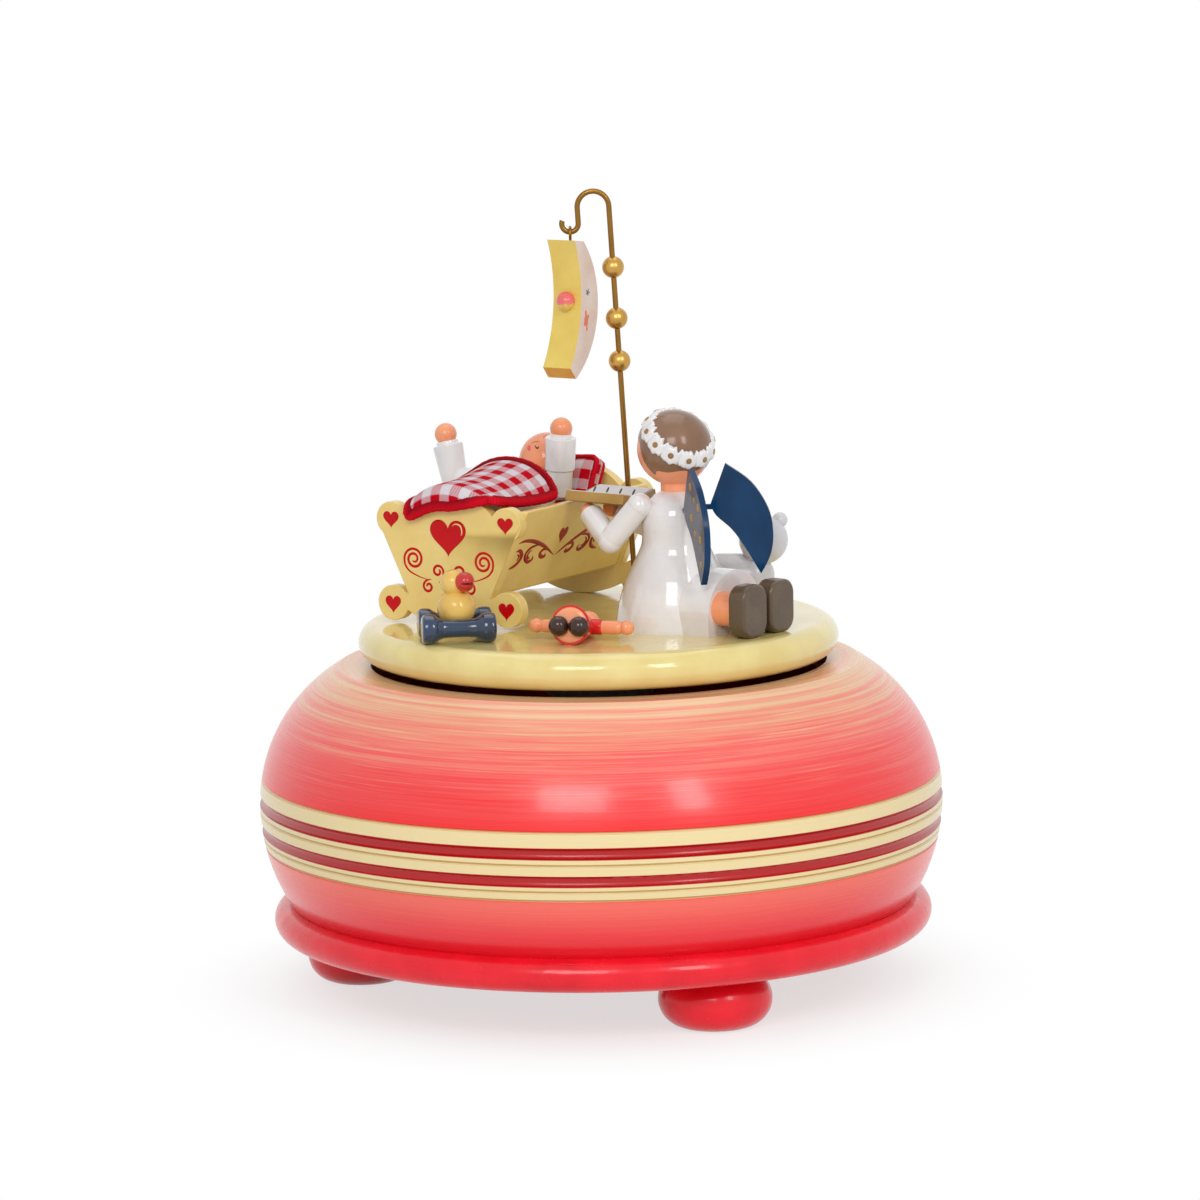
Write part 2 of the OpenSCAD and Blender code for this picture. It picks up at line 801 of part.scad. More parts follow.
module note_cylinder() {
    color(brass)
        difference() {
            along_cylinder(drum_x) {
                cylinder(r = drum_r, h = drum_l);
                for (i = [0:notes - 1], k = [0:pins_per_note - 1])
                    translate([0, 0, (i + 0.5) * note_pitch])
                        rotate(pin_turn * i + 360 * k / pins_per_note)
                            translate([drum_r - pin_root, 0, 0])
                                rotate([0, 90, 0]) cylinder(r = pin_r, h = pin_h + pin_root, $fn = 16);
            }
            along_cylinder(drum_x - cut) cylinder(r = cyl_arbor_r, h = drum_l + 2 * cut);
        }
}
module cylinder_arbor() {
    color(steel) {
        along_cylinder(pinion_x)
            cylinder(r = cyl_arbor_r, h = upright_2x + upright_t + arbor_end - pinion_x);
        along_cylinder(pinion_x)
            linear_extrude(crown_face)
                rotate(180 / pinion_n) gear_2d(pinion_n, crown_m, tooth_share);
    }
}
module cylinder_gear() {
    color(brass)
        along_cylinder(gear_x)
            linear_extrude(gear_t)
                difference() {
                    rotate(90) gear_2d(gear_n, gear_m, tooth_share);
                    circle(cyl_arbor_r);
                }
}
module transfer_wheel() {
    color(brass)
        translate([0, trans_y, 0]) {
            along_cylinder(trans_pinion_x)
                cylinder(r = trans_arbor_r, h = upright_3x + upright_t + arbor_end - trans_pinion_x);
            along_cylinder(trans_pinion_x)
                linear_extrude(trans_pinion_t)
                    rotate(-90 + 180 / trans_n) gear_2d(trans_n, gear_m, tooth_share);
            along_cylinder(worm_wheel_x)
                linear_extrude(worm_wheel_t) rotate(90) gear_2d(worm_n, worm_m, worm_tooth_share);
        }
}
module governor() {
    color(steel)
        translate([worm_x, worm_y, 0]) {
            translate([0, 0, bed_top - pivot_deep])
                cylinder(r = worm_shaft_r, h = gov_top + gov_arm_t - bed_top + pivot_deep);
            translate([0, 0, cyl_z - worm_l / 2])
                linear_extrude(worm_l, twist = -360 * worm_turns, slices = 16 * worm_turns,
                               segments = 16)
                    translate([0, worm_m]) circle(worm_core_r, $fn = 16);
            translate([-fly_r, -fly_t / 2, fly_z]) cube([2 * fly_r, fly_t, fly_h]);
        }
}
module spring_barrel() {
    color(brass)
        difference() {
            union() {
                translate([0, 0, flange_z]) cylinder(r = flange_r, h = flange_t);
                translate([0, 0, flange_z]) cylinder(r = barrel_r, h = barrel_top - flange_z);
                for (i = [0:crown_n - 1])
                    rotate(360 * i / crown_n) crown_tooth();
            }
            translate([0, 0, flange_top])
                cylinder(r = barrel_r - barrel_wall, h = barrel_top - flange_top + cut);
            translate([0, 0, flange_z - cut]) cylinder(r = arbor_r + run_gap, h = flange_t + 2 * cut);
        }
}
// One crown tooth: a wedge that points up, as wide as its share of the pitch
module crown_tooth() {
    pitch = PI * crown_m;
    low = pitch * 0.26;
    high = pitch * 0.10;
    translate([crown_r - crown_face / 2, 0, flange_top])
        rotate([90, 0, 90])
            linear_extrude(crown_face)
                polygon([[-low, -crown_root], [low, -crown_root], [low, 0], [high, 2.05 * crown_m],
                         [-high, 2.05 * crown_m], [-low, 0]]);
}
module barrel_cap() {
    color(brass)
        translate([0, 0, barrel_top])
            difference() {
                cylinder(r = barrel_r, h = cap_t);
                translate([0, 0, -cut]) cylinder(r = spindle_d / 2, h = cap_t + 2 * cut);
            }
}
// Wound strip from the arbor out to the barrel's wall
module mainspring() {
    r0 = arbor_r + spring_gap;
    r1 = barrel_r - barrel_wall - spring_out_gap - spring_t;
    steps = 24 * spring_turns;
    coil = [for (i = [0:steps]) let (r = r0 + (r1 - r0) * i / steps, a = 15 * i) r * [cos(a), sin(a)]];
    back = [for (i = [steps:-1:0])
        let (r = r0 + (r1 - r0) * i / steps + spring_t, a = 15 * i) r * [cos(a), sin(a)]];
    color([0.45, 0.46, 0.50])
        translate([0, 0, flange_top + spring_end_gap])
            linear_extrude(barrel_top - flange_top - 2 * spring_end_gap) polygon(concat(coil, back));
}

// Turntable
module spindle() {
    color(steel)
        translate([0, 0, barrel_top]) cylinder(d = spindle_d, h = plat_z + spindle_deep - barrel_top);
}
module platform_hub() {
    color([0.80, 0.66, 0.46])
        translate([0, 0, plat_z - hub_h])
            difference() {
                cylinder(r = hub_r, h = hub_h);
                translate([0, 0, -cut]) cylinder(d = spindle_d, h = hub_h + 2 * cut);
            }
}
module platform() {
    color(cream)
        difference() {
            translate([0, 0, plat_z]) round_disc(plat_d / 2, plat_t);
            translate([0, 0, plat_z - cut]) cylinder(d = spindle_d, h = spindle_deep + cut);
            at_post() translate([0, 0, -post_deep]) cylinder(d = wire_d, h = post_deep + cut);
        }
}

// Cradle
module board_2d() {
    polygon([[-waist_x, waist_h], [-side_out, lobe_h], [side_out, lobe_h], [waist_x, waist_h]]);
    for (s = [-1, 1]) {
        translate([s * lobe_x, lobe_h]) circle(lobe_r);
        translate([s * foot_lobe[0], foot_lobe[1]]) circle(foot_lobe_r);
    }
    intersection() {
        translate([0, rocker_r]) circle(rocker_r, $fn = 96);
        translate([-foot_lobe[0], 0]) square([2 * foot_lobe[0], waist_h]);
    }
    intersection() {
        translate([0, arch_h - arch_r]) circle(arch_r, $fn = 96);
        translate([-lobe_x, lobe_h - 1]) square([2 * lobe_x, arch_h]);
    }
}
module end_board(y) {
    in_cradle() translate([0, y + board_t, 0]) rotate([90, 0, 0]) linear_extrude(board_t) board_2d();
}
module cradle_footboard() { color(cream) end_board(cradle_y0); }
module cradle_headboard() { color(cream) end_board(cradle_y1); }
// Outer face of a side board at a height, just inside the end boards' slanted edge
function side_x(h) =
    waist_x + (side_out - waist_x) * (h - waist_h) / (lobe_h - waist_h) - side_in;
module side_board(s, top) {
    in_cradle()
        scale([s, 1, 1])
            translate([0, cradle_y1, 0]) rotate([90, 0, 0])
                linear_extrude(cradle_y1 - inner_y0)
                    polygon([[side_x(waist_h), waist_h], [side_x(top), top],
                             [side_x(top) - side_t, top], [side_x(waist_h) - side_t, waist_h]]);
}
module cradle_side_near() { color(cream) side_board(1, near_side_top); }
module cradle_side_far() { color(cream) side_board(-1, side_top); }
// Prism that fills the cradle between two heights, kept clear of the side boards
module between_sides(low, high, gap) {
    translate([0, cradle_y1 - gap, 0]) rotate([90, 0, 0])
        linear_extrude(cradle_y1 - inner_y0 - 2 * gap)
            polygon([for (s = [-1, 1], h = s < 0 ? [low, high] : [high, low])
                [s * (side_x(h) - side_t - gap), h]]);
}
module cradle_floor() { color(cream) in_cradle() between_sides(waist_h, waist_h + floor_t, 0); }
module mattress() {
    low = waist_h + floor_t;
    color(white)
        in_cradle()
            intersection() {
                between_sides(low, mattress_head_h, soft_gap);
                translate([-lobe_x, 0, 0]) rotate([90, 0, 90])
                    linear_extrude(2 * lobe_x)
                        polygon([[inner_y0, low], [cradle_y1, low], [cradle_y1, mattress_head_h],
                                 [inner_y0, mattress_foot_h]]);
            }
}
module pillow() {
    color(red)
        in_cradle() translate(pillow_spot) rotate([pillow_tilt, 0, 0])
            cushion(pillow_size[0], pillow_size[1], pillow_size[2], pillow_draw,
                    function(p) p + [0, 0, pillow_bend * pow(2 * p[0] / pillow_size[0], 2)]);
}
// The blanket lies over the arch, rises over the baby and hangs down in front of the foot board,
// less far at its near corner
function over_bed(p) =
    let (across = 2 * p[0] / blanket_size[0],
         slack = p[0] < 0 ? blanket_slack[0] : blanket_slack[1],
         past = max(0, blanket_fold_y - p[1] - blanket_y) * (1 - slack * across * across),
         turn = min(90, past / blanket_fold_r * 180 / PI),
         down = max(0, past - blanket_fold_r * PI / 2),
         y = past > 0 ? blanket_fold_y - blanket_fold_r * sin(turn) : p[1] + blanket_y,
         f = min(1, max(0, (y - blanket_fold_y) / blanket_rise_l)),
         lift = f * f * (3 - 2 * f),
         rear = max(0, y - blanket_fold_y - blanket_rise_l) / blanket_rear_l,
         r = blanket_arch + p[2] * cos(turn),
         a = p[0] / blanket_arch * 180 / PI + blanket_roll,
         side = a > 0 ? sin(a) * sin(a) * (blanket_side[0] * (1 - lift) - blanket_side[1] * lift) : 0)
    [r * sin(a) + blanket_shear * (y - blanket_y), y - p[2] * sin(turn),
     arch_h - arch_r + r * cos(a) + blanket_rise * lift * cos(blanket_round * a) + side
     - blanket_rear * rear * rear - blanket_fold_r * (1 - cos(turn)) - down];
module blanket() {
    color(red)
        in_cradle()
            cushion(blanket_size[0], blanket_size[1], blanket_size[2], blanket_draw,
                    function(p) over_bed(p));
}

// Baby
module baby_body() {
    color(white) in_cradle() baby_body_solid();
}
module baby_body_solid() {
    run = [baby_neck[0] - baby_feet[0], baby_neck[1] - baby_feet[1]];
    translate([0, baby_feet[0], baby_feet[1]])
        rotate([atan2(run[1], run[0]) - 90, 0, 0])
            cylinder(r1 = baby_feet_r, r2 = baby_neck_r, h = norm(run));
    rod([0, baby_neck[0] - baby_neck_in, baby_neck[1] - baby_neck_in],
        [0, baby_face[0], baby_face[1]], baby_neck_pin_r);
}
module baby_head() {
    color(peach)
        in_cradle()
            difference() {
                translate([0, baby_face[0], baby_face[1]]) sphere(baby_head_r);
                baby_body_solid();
            }
}
module baby_arms_solid() {
    rod(baby_right_shoulder, baby_right_hand - baby_cuff, baby_sleeve_r);
    rod(baby_left_shoulder, baby_left_elbow, baby_sleeve_r - baby_taper);
    translate(baby_left_elbow) sphere(baby_sleeve_r);
    rod(baby_left_elbow, baby_left_hand - baby_cuff, baby_sleeve_r);
}
module baby_arms() {
    color(white)
        in_cradle()
            difference() {
                baby_arms_solid();
                baby_body_solid();
                translate([0, baby_face[0], baby_face[1]]) sphere(baby_head_r);
            }
}
module baby_hands() {
    color(peach)
        in_cradle()
            difference() {
                for (p = [baby_right_hand, baby_left_hand]) translate(p) sphere(baby_hand_r);
                baby_arms_solid();
            }
}

// Angel
module dress_solid() {
    rotate_extrude() polygon(concat([[0, 0]], smooth(dress_line, 3), [[0, neck_z]]));
}
module angel_dress() { color(white) at_angel() dress_solid(); }
module angel_skirt() {
    color(white)
        at_angel()
            difference() {
                rotate([90, 0, 90])
                    linear_extrude(skirt_l) {
                        translate([-skirt_r, 0]) square([2 * skirt_r, skirt_rise]);
                        translate([0, skirt_rise])
                            intersection() {
                                circle(skirt_r);
                                translate([-skirt_r, 0]) square([2 * skirt_r, skirt_r]);
                            }
                    }
                dress_solid();
            }
}
module angel_head() {
    color(peach)
        at_angel() {
            translate([0, 0, angel_head_z]) sphere(angel_head_r);
            translate([0, 0, neck_z]) cylinder(r = neck_r, h = angel_head_z - neck_z);
        }
}
module angel_arms_solid() {
    both_sides() {
        rod(shoulder, elbow, arm_r);
        translate(shoulder) sphere(joint_r);
        translate(elbow) sphere(joint_r);
        rod(elbow, hand - cuff_share * (hand - elbow), arm_r);
    }
}
module angel_arms() {
    color(white)
        at_angel()
            difference() {
                angel_arms_solid();
                dress_solid();
            }
}
// Turns Z to point from a to b, with a as the origin
module toward(a, b) {
    way = b - a;
    translate(a) rotate([0, acos(way[2] / norm(way)), atan2(way[1], way[0])]) children();
}
module angel_hands() {
    color(peach)
        at_angel()
            difference() {
                both_sides() toward(hand, elbow) sphere(hand_r);
                angel_arms_solid();
            }
}
// Wing outline from its root: X outwards, Y up
module wing_2d() {
    polygon(concat(smooth(wing_outer, 5), smooth(wing_inner, 4)));
}
module angel_wings() {
    color(navy)
        at_angel()
            difference() {
                for (s = [-1, 1])
                    rotate(s * wing_angle)
                        translate([wing_root, 0, wing_z]) {
                            translate([0, wing_t / 2, 0])
                                rotate([90, 0, 0]) linear_extrude(wing_t) wing_2d();
                            translate([-wing_peg_l, 0, -wing_peg_r])
                                rotate([0, 90, 0]) cylinder(r = wing_peg_r, h = wing_peg_l + wing_peg_in);
                        }
                dress_solid();
            }
}
module angel_legs() {
    color(peach)
        at_angel()
            both_sides()
                translate([skirt_l, leg_y, leg_z]) rotate([0, 90, 0]) cylinder(r = leg_r, h = leg_l);
}
module angel_shoes() {
    color(brown)
        at_angel()
            both_sides()
                translate([skirt_l + leg_l, leg_y, shoe_size[1] / 2])
                    rotate([90, 0, 90])
                        linear_extrude(shoe_size[2])
                            rounded_rect(shoe_size[0], shoe_size[1], shoe_round);
}
module book_solid() {
    translate([book_x, 0, book_z])
        rotate([90, 0, 90])
            linear_extrude(book_l)
                both_halves() rotate(book_tilt) square([book_w, book_t]);
}
module both_halves() {
    for (s = [-1, 1]) scale([s, 1]) children();
}
module songbook() { color([0.66, 0.50, 0.22]) at_angel() book_solid(); }

// Post and moon
module post_wire() {
    wire_r = wire_d / 2;
    color(brass)
        at_post() {
            translate([0, 0, -post_deep]) cylinder(r = wire_r, h = post_deep + post_h);
            translate([-hook_r, 0, post_h])
                rotate([90, 0, 0])
                    rotate_extrude(angle = 180) translate([hook_r, 0]) circle(wire_r, $fn = 24);
            translate([-2 * hook_r, 0, curl_z]) cylinder(r = wire_r, h = hook_drop);
            translate([curl_x, 0, curl_z])
                rotate([90, 0, 0])
                    rotate(-curl_turn)
                        rotate_extrude(angle = curl_turn)
                            translate([curl_r, 0]) circle(wire_r, $fn = 24);
        }
}
module post_beads() {
    color([0.78, 0.60, 0.22])
        at_post()
            for (z = bead_zs)
                translate([0, 0, z])
                    difference() {
                        sphere(bead_r);
                        translate([0, 0, -bead_r]) cylinder(d = wire_d, h = 2 * bead_r);
                    }
}
module at_moon() {
    translate([hang_x + moon_aside[0], post_spot[1] + moon_aside[1], hang_z - moon_drop])
        rotate(moon_turn)
            rotate([0, moon_roll, 0])
                translate([-moon_hang, 0, -moon_half]) children();
}
// Crescent section: X towards its round back, Y up, with the lower tip cut on a slant
module moon_2d() {
    tip = moon_half + moon_tip;
    intersection() {
        difference() {
            translate([moon_depth - moon_out_r, 0]) circle(moon_out_r, $fn = 128);
            translate([-moon_in_r, 0]) circle(moon_in_r, $fn = 128);
        }
        polygon([[-moon_t, moon_half], [moon_in_r, moon_half], [moon_in_r, -tip], [moon_hang, -tip],
                 [-moon_t, -tip + moon_slant]]);
    }
}
module moon() {
    color([0.95, 0.83, 0.45])
        difference() {
            at_moon() rotate([90, 0, 0]) translate([0, 0, -moon_t / 2]) linear_extrude(moon_t) moon_2d();
            moon_eye_solid();
            nose_solid();
        }
}
// The nose is a ball glued into a round seat
module nose_solid() { at_moon() translate([nose_x, 0, nose_z]) sphere(nose_r); }
module moon_nose() { color([0.87, 0.30, 0.33]) nose_solid(); }
module moon_eye_solid() {
    translate([hang_x, post_spot[1], hang_z - eye_drop]) {
        rotate([0, 90, 0])
            rotate_extrude() translate([eye_r, 0]) circle(eye_wire_r, $fn = 24);
        translate([0, 0, -eye_r - eye_shank]) cylinder(r = eye_wire_r, h = eye_shank);
    }
}
module moon_eye() { color(brass) moon_eye_solid(); }

// Duck
module axles_solid() {
    wheel_r = wheel_d / 2;
    for (s = [-1, 1])
        translate([-axle_l / 2, s * axle_gap / 2, wheel_r])
            rotate([0, 90, 0]) {
                cylinder(r = bar_r, h = axle_l);
                for (x = [0, axle_l - wheel_t])
                    translate([0, 0, x]) cylinder(r = wheel_r, h = wheel_t);
            }
}
module cart_axles() { color(navy) at_cart() axles_solid(); }
module duck_body_solid() { translate([0, 0, duck_z]) sphere(duck_r); }
module duck_body() {
    color([0.93, 0.72, 0.22])
        at_cart()
            difference() {
                duck_body_solid();
                axles_solid();
            }
}
module duck_head_solid() { translate([0, 0, duck_z] + duck_head_spot) sphere(duck_head_r); }
module duck_head() {
    color([0.93, 0.72, 0.22])
        at_cart()
            difference() {
                duck_head_solid();
                duck_body_solid();
            }
}
module duck_bill() {
    color(red)
        at_cart()
            difference() {
                translate([0, 0, duck_z] + duck_head_spot + [0, 0, bill_lift])
                    rotate(bill_turn) translate([bill_reach, 0, 0]) rotate(90) sphere(bill_r);
                duck_head_solid();
                translate([0, 0, duck_z] + duck_head_spot)
                    rotate(bill_turn)
                        translate([bill_reach + bill_root, -bill_r, 0])
                            cube([bill_r, 2 * bill_r, bill_slit]);
            }
}

// Doll, lying on the side of its cone-shaped dress
module along_doll() {
    translate([0, doll_hem_r * sin(doll_tilt), doll_hem_r * cos(doll_tilt)])
        rotate([-90 - doll_tilt, 0, 0]) children();
}
module doll_cone() { along_doll() cylinder(r1 = doll_hem_r, r2 = doll_top_r, h = doll_l); }
module doll_body() { color(red) at_doll() doll_cone(); }
module doll_head() {
    color(peach)
        at_doll()
            difference() {
                translate([0, doll_l + doll_head_r - doll_head_in, doll_head_r]) sphere(doll_head_r);
                doll_cone();
            }
}
module doll_arms() {
    color(peach)
        at_doll()
            difference() {
                along_doll()
                    translate([0, 0, doll_arm_s])
                        for (s = [-1, 1])
                            rotate([0, s * 90, 0]) {
                                cylinder(r = doll_arm_r, h = doll_arm_l);
                                translate([0, 0, doll_arm_l + doll_hand_out]) sphere(doll_hand_r);
                            }
                doll_cone();
            }
}
module doll_shoes() {
    color(brown)
        at_doll()
            difference() {
                along_doll()
                    for (s = [-1, 1])
                        translate([s * (doll_shoe_r + doll_shoe_gap), doll_shoe_drop, -doll_shoe_out])
                            sphere(doll_shoe_r);
                doll_cone();
            }
}

// Bear
module bear_body_solid() {
    translate([-bear_l, 0, bear_z]) rotate([0, 90, 0]) {
        cylinder(r = bear_r, h = bear_l);
        sphere(bear_r);
        translate([0, 0, bear_l]) sphere(bear_r);
    }
    for (x = [-bear_l + bear_leg_in, -bear_leg_in], s = [-1, 1])
        translate([x, s * bear_leg_y, 0]) cylinder(r = bear_leg_r, h = bear_z);
}
module bear_body() { color(white) at_bear() bear_body_solid(); }
module bear_head() {
    color(white)
        at_bear()
            difference() {
                translate(bear_head_at) rotate(bear_head_turn) {
                    sphere(bear_head_r);
                    for (s = [-1, 1])
                        translate([bear_ear_at[0], s * bear_ear_at[1], bear_ear_at[2]]) sphere(bear_ear_r);
                    translate(bear_snout_at) sphere(bear_snout_r);
                }
                bear_body_solid();
            }
}

feet();
base_plate();
base_screws();
bowl();
bedplate();
mount_screws();
machine_screws();
barrel_bridge();
clutch_spring();
comb();
governor_bracket();
winding_arbor();
winding_key();
note_cylinder();
cylinder_arbor();
cylinder_gear();
transfer_wheel();
governor();
spring_barrel();
barrel_cap();
mainspring();
spindle();
platform_hub();
platform();
cradle_footboard();
cradle_headboard();
cradle_side_near();
cradle_side_far();
cradle_floor();
mattress();
pillow();
blanket();
baby_body();
baby_head();
baby_arms();
baby_hands();
angel_dress();
angel_skirt();
angel_head();
angel_arms();
angel_hands();
angel_wings();
angel_legs();
angel_shoes();
songbook();
post_wire();
post_beads();
moon();
moon_nose();
moon_eye();
duck_body();
duck_head();
duck_bill();
cart_axles();
doll_body();
doll_head();
doll_arms();
doll_shoes();
bear_body();
bear_head();
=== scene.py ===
"""A turned wooden music box with a cradle scene on its turning platform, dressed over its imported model.

Sizes in the sections are in millimetres and become metres when a mesh is made.
"""
import math

import bmesh
import bpy
import numpy as np
from mathutils import Matrix, Vector


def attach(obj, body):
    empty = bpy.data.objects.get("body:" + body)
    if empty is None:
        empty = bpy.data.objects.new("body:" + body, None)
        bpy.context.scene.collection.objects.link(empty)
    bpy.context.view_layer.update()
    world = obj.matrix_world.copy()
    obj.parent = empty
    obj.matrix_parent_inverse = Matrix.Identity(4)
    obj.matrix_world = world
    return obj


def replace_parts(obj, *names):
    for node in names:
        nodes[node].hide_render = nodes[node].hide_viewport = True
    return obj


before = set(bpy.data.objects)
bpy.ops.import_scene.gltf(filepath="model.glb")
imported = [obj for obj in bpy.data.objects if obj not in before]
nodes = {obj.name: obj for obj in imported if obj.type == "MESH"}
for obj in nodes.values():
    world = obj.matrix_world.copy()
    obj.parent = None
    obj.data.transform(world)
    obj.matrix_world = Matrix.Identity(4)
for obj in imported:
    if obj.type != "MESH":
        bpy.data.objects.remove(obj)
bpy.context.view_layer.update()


# Feet and base plate
# Three turned bun feet are glued by tenons into a turned plate with a round edge.
# Beech, sprayed with a glossy pink-red lacquer that lies a little uneven.
def rgb(r, g, b):
    """A screen colour (0 to 255) as the linear colour a shader takes: each channel through the sRGB curve."""
    c = np.array([r, g, b]) / 255
    return (*np.where(c <= 0.04045, c / 12.92, ((c + 0.055) / 1.055) ** 2.4).tolist(), 1.0)


def shader(name):
    """A new node material: the material, its surface shader and the object's own coordinates."""
    mat = bpy.data.materials.new(name)
    mat.use_nodes = True
    place = mat.node_tree.nodes.new("ShaderNodeTexCoord").outputs["Object"]
    return mat, mat.node_tree.nodes["Principled BSDF"], place


def feed(node, inputs):
    """Gives each named socket of a node a value, or the socket that feeds it."""
    for key, value in inputs.items():
        if isinstance(value, bpy.types.NodeSocket):
            node.id_data.links.new(value, node.inputs[key])
        else:
            node.inputs[key].default_value = value


def add(tree, kind, inputs=None, **settings):
    """Adds one shader node with its settings and inputs."""
    node = tree.nodes.new("ShaderNode" + kind)
    for key, value in settings.items():
        setattr(node, key, value)
    feed(node, inputs or {})
    return node


def noise(vector, scale, detail, rough=0.5):
    """Cloudy noise over a vector, from 0 to 1."""
    inputs = {"Vector": vector, "Scale": scale, "Detail": detail, "Roughness": rough}
    return add(vector.id_data, "TexNoise", inputs).outputs["Fac"]


def remap(value, low=0.0, high=1.0, to_low=0.0, to_high=1.0, **settings):
    """A value carried from the span low to high to another span, and held inside that."""
    inputs = {"Value": value, "From Min": low, "From Max": high, "To Min": to_low, "To Max": to_high}
    return add(value.id_data, "MapRange", inputs, **settings).outputs["Result"]


def mix(share, first, second):
    """Two colours or sockets mixed: the first times one minus the share, plus the second times the share."""
    return add(share.id_data, "MixRGB", {"Fac": share, "Color1": first, "Color2": second}).outputs["Color"]


def bump(height, strength, distance, **over):
    """The normal bent by the slope of a height, over another normal where that is given."""
    inputs = {"Height": height, "Strength": strength, "Distance": distance, **over}
    return add(height.id_data, "Bump", inputs).outputs["Normal"]


def paint(name, colour, shade, rough=0.2, coat=0.25, wave=0.05, spec=0.3):
    """Sprayed lacquer on wood: clouds of noise carry the colour towards its shade, finer noise varies the gloss,
    a slow wave in the height bends reflections as thick lacquer does, and a fine one adds its grain."""
    mat, surface_shader, place = shader(name)
    cloud, fine, slow = (noise(place, scale, detail) for scale, detail in ((120, 5), (900, 4), (210, 1)))
    swell = bump(slow, strength=wave, distance=0.004)
    feed(surface_shader, {
        "Base Color": mix(remap(cloud, 0.32, 0.7), rgb(*colour), rgb(*shade)),
        "Roughness": remap(fine, to_low=rough - 0.06, to_high=rough + 0.08),
        "Normal": bump(fine, strength=0.02, distance=0.001, Normal=swell),
        "Specular IOR Level": spec, "Coat Weight": coat, "Coat Roughness": 0.05})
    return mat


def dress(mat, *names):
    """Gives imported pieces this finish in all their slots."""
    for name in names:
        for at in nodes[name].material_slots:
            at.material = mat


dress(paint("pink_red_lacquer", (246, 22, 44), (228, 12, 34), rough=0.24), "feet", "base_plate")


# Bowl
# One turned beech bowl, sprayed on the lathe: red at the bands runs out to peach at the rim and to coral below,
# with drawn rings, cream bands, two glossy red grooves and fine cut lines, painted darker as their shade.
def calc(first, operation, *others):
    """One step of arithmetic on a socket and other values or sockets."""
    return add(first.id_data, "Math", dict(enumerate((first, *others))), operation=operation).outputs[0]


def parts(vector):
    """The X, Y and Z of a vector, as sockets."""
    return add(vector.id_data, "SeparateXYZ", {"Vector": vector}).outputs


def stretched(vector, by):
    """A vector with its X, Y and Z each multiplied."""
    return add(vector.id_data, "VectorMath", {0: vector, 1: by}, operation="MULTIPLY").outputs["Vector"]


def length(vector):
    """The length of a vector."""
    return add(vector.id_data, "VectorMath", {0: vector}, operation="LENGTH").outputs["Value"]


def ramp(value, stops):
    """A run of colours over heights in mm: stops are (height, colour), spread over the ramp's 0 to 1."""
    low, high = stops[0][0], stops[-1][0]
    node = add(value.id_data, "ValToRGB", {"Fac": remap(value, low, high)})
    while len(node.color_ramp.elements) < len(stops):
        node.color_ramp.elements.new(0.5)
    for element, (height, colour) in zip(node.color_ramp.elements, stops):
        element.position = (height - low) / (high - low)
        element.color = rgb(*colour)
    return node.outputs["Color"]


bowl_mat, bowl_shader, place = shader("sprayed_bowl")
x, y, z = parts(place)
height = calc(z, "MULTIPLY", 1000.0)
sink = calc(length(stretched(place, (1.0, 1.0, 0.0))), "MULTIPLY_ADD", -0.6, z)
round_rate, ring_rate = 16.0, 1500.0
rings = add(place.id_data, "CombineXYZ", {
    "X": calc(x, "MULTIPLY", round_rate), "Y": calc(y, "MULTIPLY", round_rate),
    "Z": calc(sink, "MULTIPLY", ring_rate)}).outputs["Vector"]
drawn = noise(rings, 0.6, 5, 0.72)
pull = calc(calc(drawn, "SUBTRACT", 0.5), "MULTIPLY", remap(height, 46.0, 54.0, 3.0, 34.0))
spray = ramp(calc(height, "ADD", pull), [
    (19.0, (226, 20, 38)), (24.0, (244, 48, 58)), (31.0, (250, 110, 96)), (40.0, (249, 88, 82)),
    (47.0, (246, 38, 42)), (53.5, (246, 66, 68)), (61.0, (247, 104, 98)), (66.0, (242, 144, 118)),
    (70.0, (237, 180, 138)), (73.5, (236, 196, 150))])
# cut is painted shade: a darker cream laid in the fine cut lines for the shade that falls in them.
cream, cut, groove = (240, 220, 166), (200, 164, 96), (184, 0, 6)
bands = ramp(height, [
    (32.2, cut), (32.55, cut), (32.7, cream), (34.1, cream), (34.2, cut), (34.45, cut), (34.6, cream),
    (35.3, cream), (35.45, groove), (37.75, groove), (37.9, cream), (39.8, cream), (39.9, cut), (40.15, cut),
    (40.3, cream), (41.15, cream), (41.3, groove), (43.7, groove), (43.85, cream), (46.7, cream), (46.8, cut),
    (47.1, cut)])
band_low, band_high = 32.25, 47.0
inside = calc(calc(height, "GREATER_THAN", band_low), "MULTIPLY", calc(height, "LESS_THAN", band_high))
hair = remap(noise(rings, 2.1, 3, 0.6), 0.57, 0.72)
veil = calc(hair, "MULTIPLY", remap(height, 49.0, 66.0, to_high=0.75))
streaked = mix(veil, spray, rgb(246, 206, 150))
feed(bowl_shader, {
    "Base Color": mix(inside, streaked, bands), "Roughness": remap(drawn, to_low=0.2, to_high=0.34),
    "Normal": bump(drawn, strength=0.05, distance=0.001),
    "Specular IOR Level": 0.36, "Coat Weight": 0.3, "Coat Roughness": 0.13})
dress(bowl_mat, "bowl")


# Movement, screws and key
# A wind-up movement screwed to the base plate: cast bed and barrel, steel springs, comb and screws, brass wheels.
# The key screws on to the arbor under the plate.
def metal(name, colour, dull, rough, drawn):
    """Worked metal: noise stretched along Z lays fine drawn marks over the colour and into the gloss and the
    height."""
    mat, surface_shader, place = shader(name)
    marks = noise(stretched(place, drawn), 1.0, 4)
    feed(surface_shader, {
        "Base Color": mix(marks, rgb(*colour), rgb(*dull)),
        "Roughness": remap(marks, to_low=rough - 0.1, to_high=rough + 0.14),
        "Normal": bump(marks, strength=0.08, distance=0.0005), "Metallic": 1.0})
    return mat


